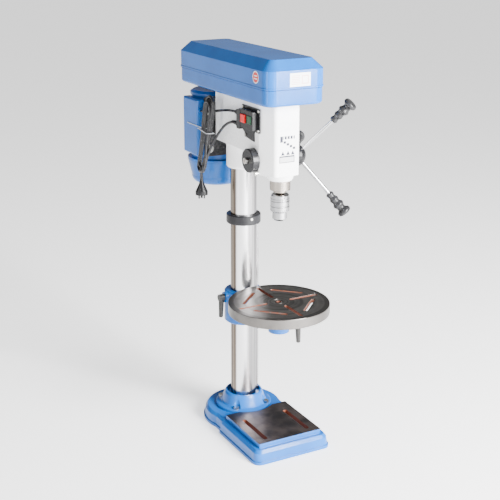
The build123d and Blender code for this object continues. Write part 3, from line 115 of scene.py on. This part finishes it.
hank_points = [hank_point(step) for step in range(FIRST_STEP, LAST_STEP + 1)]
lead_points = LEAD_START + hank_points + PLUG_LEAD
print("lead points", len(lead_points))


# %% Make a cord from points
def cord_curve(name, points, radius):
    """A smooth cord: a NURBS curve with these control points and a round bevel."""
    data = bpy.data.curves.new(name, "CURVE")
    data.dimensions = "3D"
    spline = data.splines.new("NURBS")
    spline.points.add(len(points) - 1)
    for target, point in zip(spline.points, points):
        target.co = (*point, 1.0)
    spline.order_u = 3
    spline.use_endpoint_u = True
    spline.resolution_u = 8
    data.bevel_depth = radius
    data.bevel_resolution = 5
    data.use_fill_caps = True
    cord = bpy.data.objects.new(name, data)
    bpy.context.scene.collection.objects.link(cord)
    return cord


def cord_length(cord):
    """The length of a curve's own line."""
    depth, cord.data.bevel_depth = cord.data.bevel_depth, 0.0
    line = bpy.data.meshes.new_from_object(cord)
    cord.data.bevel_depth = depth
    return sum((line.vertices[e.vertices[0]].co - line.vertices[e.vertices[1]].co).length for e in line.edges)


mains_lead = cord_curve("mains_lead", lead_points, CORD_RADIUS)
LEAD_LENGTH = cord_length(mains_lead)
print("mains lead", round(LEAD_LENGTH, 3), "m")

# %% [markdown]
# ## Shader maths as expressions
# A finish is a formula over the surface, so it reads best as one. `Wire` is a value in a material's node tree
# and does arithmetic by adding Math nodes. `Paint` is one material: its `node` method makes any node, and
# `feed` joins what varies to the shader. What is the same all over is set on the shader when it is made.

# %% Wire and Paint
NOISE_VALUE = "Fac" if bpy.app.version < (5, 0, 0) else "Factor"


class Wire:
    """A value in a material. Adding, multiplying and so on adds the Math node that does it."""

    def __init__(self, paint, socket):
        self.paint = paint
        self.socket = socket

    def calc(self, operation, first, second=0.0):
        return self.paint.node("ShaderNodeMath", {"operation": operation}, {0: first, 1: second})["Value"]

    def __add__(self, other):
        return self.calc("ADD", self, other)

    __radd__ = __add__

    def __sub__(self, other):
        return self.calc("SUBTRACT", self, other)

    def __rsub__(self, other):
        return self.calc("SUBTRACT", other, self)

    def __mul__(self, other):
        return self.calc("MULTIPLY", self, other)

    __rmul__ = __mul__

    def __truediv__(self, other):
        return self.calc("DIVIDE", self, other)

    def __lt__(self, other):
        return self.calc("LESS_THAN", self, other)

    def __gt__(self, other):
        return self.calc("GREATER_THAN", self, other)

    def __abs__(self):
        return self.calc("ABSOLUTE", self)

    def root(self):
        return self.calc("SQRT", self)

    def fraction(self):
        return self.calc("FRACT", self)

    def at_most(self, limit):
        return self.calc("MINIMUM", self, limit)


class Paint:
    """One material, made from its shader's constant values and any nodes that are added."""

    def __init__(self, name, **constants):
        self.material = bpy.data.materials.new(name)
        self.material.use_nodes = True
        self.tree = self.material.node_tree
        self.shader = self.tree.nodes["Principled BSDF"]
        for socket, value in constants.items():
            self.shader.inputs[socket.replace("_", " ")].default_value = value

    def node(self, kind, settings=None, inputs=None):
        made = self.tree.nodes.new(kind)
        for name, value in (settings or {}).items():
            setattr(made, name, value)
        for name, value in (inputs or {}).items():
            if isinstance(value, Wire):
                self.tree.links.new(value.socket, made.inputs[name])
            else:
                made.inputs[name].default_value = value
        return {out.name: Wire(self, out) for out in made.outputs if out.enabled}

    def place(self, scale=(1, 1, 1), move=(0, 0, 0), turn=(0, 0, 0)):
        """Object coordinates in metres, moved, turned and scaled."""
        there = self.node("ShaderNodeTexCoord")["Object"]
        return self.node("ShaderNodeMapping", None,
                         {"Vector": there, "Location": move, "Rotation": turn, "Scale": scale})["Vector"]

    def xyz(self, vector):
        parts = self.node("ShaderNodeSeparateXYZ", None, {0: vector})
        return parts["X"], parts["Y"], parts["Z"]

    def noise(self, size, detail=3.0, roughness=0.55, stretch=(1, 1, 1), move=(0, 0, 0)):
        """Noise with features of about that size in metres."""
        vector = self.place(scale=tuple(s / size for s in stretch), move=move)
        return self.node("ShaderNodeTexNoise", None,
                         {"Vector": vector, "Scale": 1.0, "Detail": detail, "Roughness": roughness})[NOISE_VALUE]

    def blend(self, factor, first, second):
        """A colour between two, by a factor from 0 to 1."""
        self.node("ShaderNodeMix", {"data_type": "RGBA"})
        node = self.tree.nodes[-1]
        for socket, value in ((node.inputs[0], factor), (node.inputs[6], first), (node.inputs[7], second)):
            if isinstance(value, Wire):
                self.tree.links.new(value.socket, socket)
            else:
                socket.default_value = value
        return Wire(self, node.outputs[2])

    def ramp(self, value, low, high):
        """0 below low, 1 above high, and smooth between."""
        return self.node("ShaderNodeMapRange", {"interpolation_type": "SMOOTHSTEP"},
                         {"Value": value, "From Min": low, "From Max": high})["Result"]

    def bump(self, height, strength, depth, under=None):
        inputs = {"Height": height, "Strength": strength, "Distance": depth}
        if under is not None:
            inputs["Normal"] = under
        return self.node("ShaderNodeBump", None, inputs)["Normal"]

    def soft_edges(self, radius):
        """Normals that round every edge by a small radius."""
        return self.node("ShaderNodeBevel", {"samples": 4}, {"Radius": radius})["Normal"]

    def feed(self, **sockets):
        for name, wire in sockets.items():
            self.tree.links.new(wire.socket, self.shader.inputs[name.replace("_", " ")])
        return self.material


def grey(level):
    return (level, level, level, 1.0)


def edge_wear(paint, low, high):
    """1 along sharp outer edges, 0 on flat faces, broken up by noise."""
    point = paint.node("ShaderNodeNewGeometry")["Pointiness"]
    return paint.ramp(point, low, high) * paint.ramp(paint.noise(0.006), 0.35, 0.65)


print("shader helpers ready")

# %% [markdown]
# ## Paint
# The castings and the sheet covers share one blue. On a casting the paint lies over sand-cast iron, so it is
# pebbled; it also pools a little in hollows, which these finishes leave out. On pressed sheet it is smooth,
# with a fine orange peel. Both are wet looking, so a clear coat lies over the colour.

# %% Painted finishes
BLUE = (0.0, 0.110, 0.42, 1.0)
BLUE_DEEP = (0.0, 0.092, 0.36, 1.0)
WHITE = (0.95, 0.95, 0.95, 1.0)
WHITE_SHADE = (0.92, 0.92, 0.925, 1.0)

# Print is placed in millimetres. It shows on a face and up to PRINT_REACH behind it.
MILLIMETRES = (1000, 1000, 1000)
HEAD_FACE_Y = -262.0
COVER_FACE_Y = -314.0
COVER_SIDE_X = -95.0
PRINT_REACH = 0.6
CHART_INK = (0.012, 0.012, 0.03, 1.0)
CHART_GROUND = (0.55, 0.60, 0.70, 1.0)
STICKER_WHITE = (0.80, 0.82, 0.84, 1.0)
STICKER_PRINT = (0.62, 0.28, 0.30, 1.0)
BADGE_WHITE = (0.75, 0.76, 0.78, 1.0)
BADGE_RED = (0.55, 0.02, 0.025, 1.0)
BADGE_Y, BADGE_Z = -248.0, 1131.0
BADGE_RADIUS, BADGE_RED_RADIUS = 17.0, 14.5


def box_of(across, up, left, right, low, high):
    """1 inside a rectangle of two coordinates in millimetres, 0 outside it."""
    return (across > left) * (across < right) * (up > low) * (up < high)


def chart(paint, colour):
    """A speed chart in faint print on the head's narrow front: heading, stair of steps, three wedges, a frame."""
    x, y, z = paint.xyz(paint.place(scale=MILLIMETRES))
    front = y < HEAD_FACE_Y + PRINT_REACH
    pale = box_of(x, z, -28, 29, 975, 1002)
    ink = box_of(x, z, -14, 23, 953, 962) * ((x * 0.105 + 5.0).fraction() < 0.7)
    ink = ink + box_of(x, z, -24, -15, 945, 962)
    for step in range(4):
        left = -13 + 10 * step
        ink = ink + box_of(x, z, left, left + 8, 941 - 6 * step, 948 - 6 * step)
    for middle in (-15, 2, 17):
        wedge = box_of(x, z, middle - 6, middle + 6, 908, 920)
        ink = ink + wedge * (abs(x - middle) * 2.0 < 920.0 - z)
    border = box_of(x, z, -26, 23, 886, 906) * (1.0 - box_of(x, z, -24, 21, 888, 902))
    rows = box_of(x, z, -24, 21, 888, 902) * 0.4
    ink = (ink + border + rows).at_most(1.0)
    colour = paint.blend(front * pale * 0.12, colour, CHART_GROUND)
    return paint.blend(front * ink, colour, CHART_INK)


def labels(paint, colour):
    """A white sticker on the cover's front and a round badge on its left side, neither with any wording."""
    x, y, z = paint.xyz(paint.place(scale=MILLIMETRES))
    front = y < COVER_FACE_Y + PRINT_REACH
    side = x < COVER_SIDE_X + PRINT_REACH
    sticker = front * box_of(x, z, -25, 40, 1108, 1145)
    colour = paint.blend(sticker, colour, STICKER_WHITE)
    lines = box_of(x, z, -20, 6, 1112, 1141) * ((z * 0.22).fraction() < 0.45)
    square = box_of(x, z, 12, 34, 1114, 1138) * (1.0 - box_of(x, z, 15, 31, 1117, 1135))
    colour = paint.blend(front * (lines + square) * 0.6, colour, STICKER_PRINT)
    across, up = y - BADGE_Y, z - BADGE_Z
    radius = (across * across + up * up).root()
    colour = paint.blend(side * (radius < BADGE_RADIUS), colour, BADGE_WHITE)
    colour = paint.blend(side * (radius < BADGE_RED_RADIUS), colour, BADGE_RED)
    bar = (abs(across) < 9.0) * (abs(abs(up) - 4.0) < 1.5)
    return paint.blend(side * bar, colour, BADGE_WHITE)


def painted(name, colour, shade, pebble, peel, gloss, marks=None):
    """Enamel over metal: pebble is the height of the casting's skin, peel that of the paint's own ripple."""
    paint = Paint(name, Coat_Weight=0.12, Coat_Roughness=0.06, Specular_IOR_Level=0.3)
    patches = paint.noise(0.09, detail=2.0)
    fine = paint.noise(0.0022, detail=2.0)
    skin = paint.noise(0.006, detail=4.0)
    colour = paint.blend(paint.ramp(patches, 0.3, 0.7), colour, shade)
    if marks is not None:
        colour = marks(paint, colour)
    rounded = paint.soft_edges(0.0016)
    surface = paint.bump(skin, 0.5, pebble, rounded)
    surface = paint.bump(fine, 0.35, peel, surface)
    return paint.feed(Base_Color=colour, Roughness=skin * 0.10 + gloss, Normal=surface)


cast_blue = painted("cast_blue", BLUE, BLUE_DEEP, 0.0007, 0.00012, 0.25)
sheet_blue = painted("sheet_blue", BLUE, BLUE_DEEP, 0.00004, 0.00010, 0.17, labels)
cast_white = painted("cast_white", WHITE, WHITE_SHADE, 0.00025, 0.00010, 0.22, chart)
print("paints", cast_blue.name, sheet_blue.name, cast_white.name)

# %% [markdown]
# ## Machined iron
# The table is faced in a lathe, so its tool marks are rings round its centre, a little uneven, with rust where
# the coolant stays: in the slots. A ring pattern is a noise that is read along the radius alone.

# %% The turned table
IRON = (0.085, 0.078, 0.072, 1.0)
IRON_PALE = (0.19, 0.18, 0.17, 1.0)
IRON_DARK = (0.055, 0.052, 0.05, 1.0)
RUST = (0.16, 0.045, 0.022, 1.0)
TABLE_LOW, TABLE_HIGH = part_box("round_table")
TABLE_X = (TABLE_LOW.x + TABLE_HIGH.x) / 2
TABLE_Y = (TABLE_LOW.y + TABLE_HIGH.y) / 2
TABLE_RADIUS = (TABLE_HIGH.x - TABLE_LOW.x) / 2


def turned_iron():
    paint = Paint("turned_iron", Metallic=1.0)
    x, y, z = paint.xyz(paint.place(move=(-TABLE_X, -TABLE_Y, 0)))
    radius = (x * x + y * y).root()
    along = paint.node("ShaderNodeCombineXYZ", None, {"X": radius * 900.0, "Y": z * 500.0})["Vector"]
    marks = paint.node("ShaderNodeTexNoise", None, {"Vector": along, "Scale": 1.0, "Detail": 2.0})[NOISE_VALUE]
    broad = paint.node("ShaderNodeTexNoise", None, {
        "Vector": paint.node("ShaderNodeCombineXYZ", None, {"X": radius * 110.0, "Y": z * 3.0})["Vector"],
        "Scale": 1.0, "Detail": 1.0})[NOISE_VALUE]
    stain = paint.noise(0.05, detail=4.0)
    colour = paint.blend(paint.ramp(broad, 0.35, 0.65), IRON, IRON_PALE)
    colour = paint.blend(paint.ramp(stain, 0.45, 0.75) * 0.55, colour, IRON_DARK)
    below = z < TABLE_HIGH.z - 0.0012
    inside = radius < TABLE_RADIUS - 0.004
    slots = below * inside
    rusty = slots * paint.ramp(paint.noise(0.012), 0.25, 0.5)
    colour = paint.blend(rusty, colour, RUST)
    rough = marks * 0.10 + 0.24 + rusty * 0.5 + stain * 0.10
    return paint.feed(Base_Color=colour, Roughness=rough, Metallic=1.0 - rusty * 0.9,
                      Normal=paint.bump(marks, 0.35, 0.0003, paint.soft_edges(0.0008)))


turned = turned_iron()

# %% [markdown]
# ## The base
# One casting carries two finishes: paint everywhere, and a planed pad with two rusty slots. The pad is where the
# casting's face lies at the pad's own height, so the finish changes with height and place, as it does in the
# machine shop.

# %% Painted base with its planed pad
PAD_HALF, PAD_FRONT, PAD_BACK, PAD_HEIGHT = 0.1058, -0.2988, -0.080, 0.056
ROUND_LIP = 0.1022
PAD_SKIN = 0.0004
SLOT_X, SLOT_HALF = 0.072, 0.0078
PLANED_PALE = (0.13, 0.105, 0.10, 1.0)
PLANED_DARK = (0.04, 0.036, 0.038, 1.0)


def base_finish():
    paint = Paint("base_finish", Coat_Roughness=0.06, Specular_IOR_Level=0.3)
    x, y, z = paint.xyz(paint.place())
    radius = (x * x + y * y).root()
    within = (abs(x) < PAD_HALF) * (y > PAD_FRONT) * (y < PAD_BACK) * (radius > ROUND_LIP)
    pad = within * (z > PAD_HEIGHT - PAD_SKIN)
    slot = within * (z < PAD_HEIGHT - PAD_SKIN) * (abs(abs(x) - SLOT_X) < SLOT_HALF)
    patches = paint.noise(0.09, detail=2.0)
    blue = paint.blend(paint.ramp(patches, 0.3, 0.7), BLUE, BLUE_DEEP)
    planed = paint.noise(0.002, stretch=(1, 0.02, 1))
    stain = paint.noise(0.06, detail=4.0)
    iron = paint.blend(paint.ramp(stain, 0.35, 0.7), PLANED_PALE, PLANED_DARK)
    colour = paint.blend(pad, blue, iron)
    colour = paint.blend(slot, colour, RUST)
    skin = paint.noise(0.006, detail=4.0)
    paint_rough = skin * 0.10 + 0.25
    rough = paint_rough * (1.0 - pad) + pad * (planed * 0.15 + 0.30) + slot * 0.3
    height = skin * (1.0 - pad) + pad * planed * 0.4
    return paint.feed(Base_Color=colour, Roughness=rough, Metallic=pad * 0.92, Coat_Weight=0.12 - pad * 0.12,
                      Normal=paint.bump(height, 0.5, 0.0007, paint.soft_edges(0.003)))


base_paint = base_finish()
print("base finish made")

# %% [markdown]
# ## Bright steel
# The column and the quill are ground between centres, which leaves very fine rings round them. Bolts are zinc
# plated and slightly yellow, the chuck is polished, and the rods are chromed.

# %% Bare metals
def ground_steel(name, colour, roughness, ring_depth, haze):
    """Steel with fine grinding rings across its length and a faint film of old oil."""
    paint = Paint(name, Metallic=1.0)
    rings = paint.noise(0.0009, detail=2.0, stretch=(0.03, 0.03, 1))
    film = paint.noise(0.07, detail=3.0, stretch=(1, 1, 0.25))
    warm = tuple(c * f for c, f in zip(colour[:3], (0.86, 0.76, 0.66))) + (1.0,)
    shown = paint.blend(paint.ramp(film, 0.45, 0.75) * haze, colour, warm)
    return paint.feed(Base_Color=shown, Roughness=rings * 0.06 + roughness + film * 0.05,
                      Normal=paint.bump(rings, 0.25, ring_depth, paint.soft_edges(0.0006)))


# The camera's horizontal direction in plan: the column's colour bands lie along it, so they follow the view.
CAMERA_ACROSS_X, CAMERA_ACROSS_Y = 0.883, 0.469


def column_steel_with_painted_shade():
    """The column: drawn tube coloured across the camera's view: brown streaks down its left edge, and painted
    shade down its right edge with lighter painted reflection streaks in it.
    """
    paint = Paint("column_steel", Metallic=1.0)
    x, y, z = paint.xyz(paint.place())
    across = x * CAMERA_ACROSS_X - y * CAMERA_ACROSS_Y
    streaks = paint.noise(0.007, detail=2.0, stretch=(1, 1, 0.004))
    rings = paint.noise(0.0009, detail=2.0, stretch=(0.03, 0.03, 1))
    # Brown streaks down the column's left edge as the camera sees it.
    left = 1.0 - paint.ramp(across + streaks * 0.010, -0.022, -0.014)
    # Painted shade: a dark band down the column's right edge as the camera sees it, with lighter streaks in it
    # that are painted reflections.
    right = paint.ramp(across - streaks * 0.012, 0.002, 0.010)
    steel = paint.blend(right * 0.85, (0.80, 0.80, 0.81, 1.0), (0.15, 0.145, 0.15, 1.0))
    steel = paint.blend(right * paint.ramp(streaks, 0.50, 0.62), steel, (0.42, 0.41, 0.41, 1.0))
    brown = paint.blend(paint.ramp(streaks, 0.40, 0.60), (0.085, 0.065, 0.050, 1.0), (0.25, 0.21, 0.17, 1.0))
    return paint.feed(Base_Color=paint.blend(left, steel, brown), Roughness=rings * 0.06 + 0.20,
                      Normal=paint.bump(rings, 0.25, 0.00008, paint.soft_edges(0.0006)))


column_steel = column_steel_with_painted_shade()
quill_steel = ground_steel("quill_steel", (0.38, 0.34, 0.30, 1.0), 0.16, 0.00006, 0.35)
chuck_steel = ground_steel("chuck_steel", (0.40, 0.40, 0.41, 1.0), 0.08, 0.00004, 0.10)
chrome = ground_steel("chrome", (0.46, 0.46, 0.47, 1.0), 0.05, 0.00001, 0.0)


def plated(name, colour, roughness):
    paint = Paint(name, Metallic=1.0)
    mottled = paint.noise(0.004, detail=3.0)
    shown = paint.blend(paint.ramp(mottled, 0.35, 0.65), colour, tuple(0.8 * c for c in colour[:3]) + (1.0,))
    return paint.feed(Base_Color=shown, Roughness=mottled * 0.12 + roughness,
                      Normal=paint.bump(mottled, 0.15, 0.0001, paint.soft_edges(0.0005)))


zinc = plated("zinc_plate", (0.62, 0.61, 0.57, 1.0), 0.22)
cast_alloy = plated("cast_alloy", (0.66, 0.67, 0.69, 1.0), 0.30)
print("metals", column_steel.name, chuck_steel.name, zinc.name, cast_alloy.name)

# %% [markdown]
# ## Black parts
# Four blacks sit side by side on this machine, and they only look right when they differ: blackened iron is
# brownish and pitted, moulded plastic is glossy with soft edges, rubber is grey where it is handled, and the
# belts are fabric-covered.

# %% Blacks and coloured plastics
def moulded(name, colour, gloss, grain, coat=0.2, shine=0.2):
    """Plastic from a mould: a fine grain and soft edges."""
    paint = Paint(name, Coat_Weight=coat * 0.3, Coat_Roughness=0.1, Specular_IOR_Level=shine)
    texture = paint.noise(0.0008, detail=2.0)
    wear = paint.noise(0.03, detail=3.0)
    worn = tuple(min(1.0, c * 1.5 + 0.004) for c in colour[:3]) + (1.0,)
    shown = paint.blend(paint.ramp(wear, 0.4, 0.8) * 0.6, colour, worn)
    return paint.feed(Base_Color=shown, Roughness=wear * 0.12 + gloss,
                      Normal=paint.bump(texture, 0.4, grain, paint.soft_edges(0.0008)))


def blackened(name, colour, gloss):
    """Oil-blackened iron with bright wear along its edges."""
    paint = Paint(name, Specular_IOR_Level=0.3)
    pits = paint.noise(0.003, detail=5.0)
    bare = edge_wear(paint, 0.58, 0.70)
    shown = paint.blend(bare * 0.7, colour, (0.30, 0.29, 0.28, 1.0))
    return paint.feed(Base_Color=shown, Metallic=bare * 0.8, Roughness=pits * 0.2 + gloss,
                      Normal=paint.bump(pits, 0.15, 0.0002, paint.soft_edges(0.0008)))


black_plastic = moulded("black_plastic", (0.010, 0.010, 0.011, 1.0), 0.20, 0.00004)
grip_plastic = moulded("grip_plastic", (0.018, 0.018, 0.019, 1.0), 0.24, 0.00006, coat=0.4)
cord_rubber = moulded("cord_rubber", (0.006, 0.006, 0.008, 1.0), 0.20, 0.00003, shine=0.45)
belt_fabric = moulded("belt_fabric", (0.022, 0.021, 0.020, 1.0), 0.75, 0.00025, coat=0.0)
red_plastic = moulded("red_plastic", (0.62, 0.006, 0.008, 1.0), 0.18, 0.00003, coat=0.6)
green_plastic = moulded("green_plastic", (0.004, 0.055, 0.020, 1.0), 0.2, 0.00003, coat=0.5)
tie_plastic = moulded("tie_plastic", (0.55, 0.57, 0.60, 1.0), 0.35, 0.00004)
black_iron = blackened("black_iron", (0.010, 0.010, 0.012, 1.0), 0.30)
lever_iron = blackened("lever_iron", (0.030, 0.029, 0.028, 1.0), 0.30)
print("blacks", black_plastic.name, black_iron.name, cord_rubber.name)

# %% [markdown]
# ## Finishes on the CAD parts
# Each CAD node keeps its shape and takes one finish, so a short table says which. Parts of one material differ
# where the real ones do: the cover is pressed sheet, and the bracket is a casting.

# %% Give every node its finish
FINISHES = {
    cast_blue: ["column_flange", "table_bracket", "motor_body", "fan_cowl", "terminal_box"],
    sheet_blue: ["cover_pan", "cover_lid"],
    base_paint: ["base_casting"],
    cast_white: ["head_casting"],
    turned: ["round_table"],
    column_steel: ["column_tube", "column_rack"],
    quill_steel: ["quill", "spindle", "feed_shaft", "motor_shaft"],
    chuck_steel: ["chuck_body", "chuck_sleeve", "chuck_jaw_1", "chuck_jaw_2", "chuck_jaw_3"],
    chrome: ["feed_rods", "slide_rods"],
    zinc: ["flange_bolts", "lock_screws", "idler_arm", "switch_screws", "elevation_gear", "spring_nuts",
           "depth_collar", "motor_bolts"],
    cast_alloy: ["spindle_pulley", "idler_pulley", "motor_pulley"],
    black_iron: ["rack_ring", "hinge_pan_leaves", "hinge_lid_leaves", "motor_plate", "elevation_crank"],
    lever_iron: ["clamp_lever", "table_lock_lever"],
    black_plastic: ["spring_cap", "switch_plate", "switch_box", "cable_glands", "feed_hub", "latch_knob",
                    "tension_knob", "power_plug"],
    grip_plastic: ["feed_grips", "crank_grip"],
    cord_rubber: ["motor_cable", "mains_cord", "cord_hank", "plug_lead"],
    belt_fabric: ["front_belt", "rear_belt"],
    red_plastic: ["stop_button"],
    green_plastic: ["start_button"],
    tie_plastic: ["cord_tie"],
}
finished = set()
for finish, names in FINISHES.items():
    for name in names:
        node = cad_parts[name]
        for material_slot in node.material_slots:
            material_slot.material = finish
        finished.add(name)
print("finished", len(finished), "of", len(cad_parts), "nodes; without:", set(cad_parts) - finished)


# %% Make an object from a bmesh
def piece(name, mesh, body, finish, smooth=True):
    """Turn a bmesh into a finished piece that rides on a body."""
    data = bpy.data.meshes.new(name)
    bmesh.ops.recalc_face_normals(mesh, faces=mesh.faces)
    mesh.to_mesh(data)
    mesh.free()
    for face in data.polygons:
        face.use_smooth = smooth
    made = bpy.data.objects.new(name, data)
    made.data.materials.append(finish)
    bpy.context.scene.collection.objects.link(made)
    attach(made, body)
    return made


# %% [markdown]
# ## Strain reliefs
# Where a lead leaves a box or a plug it bends most, so it passes through a tapered, ribbed sleeve of soft
# rubber. The sleeve's outline is drawn once and turned a full circle about the lead.

# %% Ribbed sleeves at both ends of the mains lead
RIBS = 5
RIB_DEPTH = 0.0009


def strain_relief(name, start, end, wide, narrow):
    """A ribbed taper round the lead, from its wide end at start to its narrow end."""
    axis = Vector(end) - Vector(start)
    inner = CORD_RADIUS * 0.85
    outline = [(inner, 0.0), (wide, 0.0)]
    for rib in range(RIBS):
        for share, depth in ((0.15, 0.0), (0.30, RIB_DEPTH), (0.70, RIB_DEPTH), (0.85, 0.0)):
            along = (rib + share) / RIBS
            outline.append((wide + (narrow - wide) * along - depth * (1 - 0.4 * along), along * axis.length))
    outline += [(narrow, axis.length), (inner, axis.length)]
    mesh = bmesh.new()
    corners = [mesh.verts.new((radius, 0.0, height)) for radius, height in outline]
    rim = [mesh.edges.new(pair) for pair in zip(corners, corners[1:] + corners[:1])]
    bmesh.ops.spin(mesh, geom=corners + rim, cent=(0, 0, 0), axis=(0, 0, 1), angle=2 * math.pi, steps=40,
                   use_merge=True)
    bmesh.ops.transform(mesh, verts=mesh.verts, matrix=Matrix.Translation(start)
                        @ axis.to_track_quat("Z", "Y").to_matrix().to_4x4())
    return piece(name, mesh, "stand", cord_rubber)


gland_relief = strain_relief("gland_strain_relief", (-0.073, -0.0955, 0.978), (-0.073, -0.0695, 0.9772),
                             0.0068, 0.0049)
plug_relief = strain_relief("plug_strain_relief", (-0.1138, 0.0572, 0.7765), (-0.1168, 0.0520, 0.8000),
                            0.0062, 0.0048)
print("strain reliefs", gland_relief.name, plug_relief.name)

# %% The lead's finish and its body
mains_lead.data.materials.append(cord_rubber)
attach(mains_lead, "stand")
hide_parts("mains_cord", "cord_hank", "plug_lead")

# %% [markdown]
# ## Studio
# A pale floor, a bright surround and four soft lamps. The key lamp stands in front, so that the faces towards
# the operator are the brightest, the side turned away stays a deeper blue, and the steel shows long highlights.

# %% Floor, surround and lamps
FLOOR_HALF = 90.0


def floor():
    mesh = bmesh.new()
    bmesh.ops.create_grid(mesh, x_segments=1, y_segments=1, size=FLOOR_HALF)
    data = bpy.data.meshes.new("floor")
    mesh.to_mesh(data)
    mesh.free()
    made = bpy.data.objects.new("floor", data)
    paint = Paint("floor_paint", Base_Color=grey(0.9), Roughness=0.9, Emission_Color=grey(1.0),
                  Emission_Strength=1.1)
    made.data.materials.append(paint.material)
    bpy.context.scene.collection.objects.link(made)
    return made


def lamp(name, place, aim, size, power):
    data = bpy.data.lights.new(name, "AREA")
    data.shape = "RECTANGLE"
    data.size, data.size_y = size
    data.energy = power
    made = bpy.data.objects.new(name, data)
    made.location = place
    made.rotation_euler = (Vector(aim) - Vector(place)).to_track_quat("-Z", "Y").to_euler()
    bpy.context.scene.collection.objects.link(made)
    return made


def surround(seen, felt):
    """A world that looks almost white and lights the object less."""
    world = bpy.data.worlds.new("surround")
    bpy.context.scene.world = world
    world.use_nodes = True
    nodes, links = world.node_tree.nodes, world.node_tree.links
    back = nodes["Background"]
    back.inputs["Color"].default_value = grey(1.0)
    ray = nodes.new("ShaderNodeLightPath")
    strength = nodes.new("ShaderNodeMapRange")
    strength.inputs["To Min"].default_value = felt
    strength.inputs["To Max"].default_value = seen
    links.new(ray.outputs["Is Camera Ray"], strength.inputs["Value"])
    links.new(strength.outputs["Result"], back.inputs["Strength"])


floor()
surround(seen=5.0, felt=0.32)
lamp("key", (1.2, -3.4, 1.7), (0, -0.1, 0.7), (1.6, 2.2), 1050)
lamp("left_fill", (-3.2, -1.0, 1.4), (0, 0, 0.7), (0.8, 2.2), 40)
lamp("column_strip", (-0.6, -3.6, 0.9), (0, 0, 0.4), (0.25, 2.4), 30)
lamp("top", (0.4, 0.8, 3.4), (0, -0.1, 0.5), (2.0, 2.0), 8)
print("studio ready")
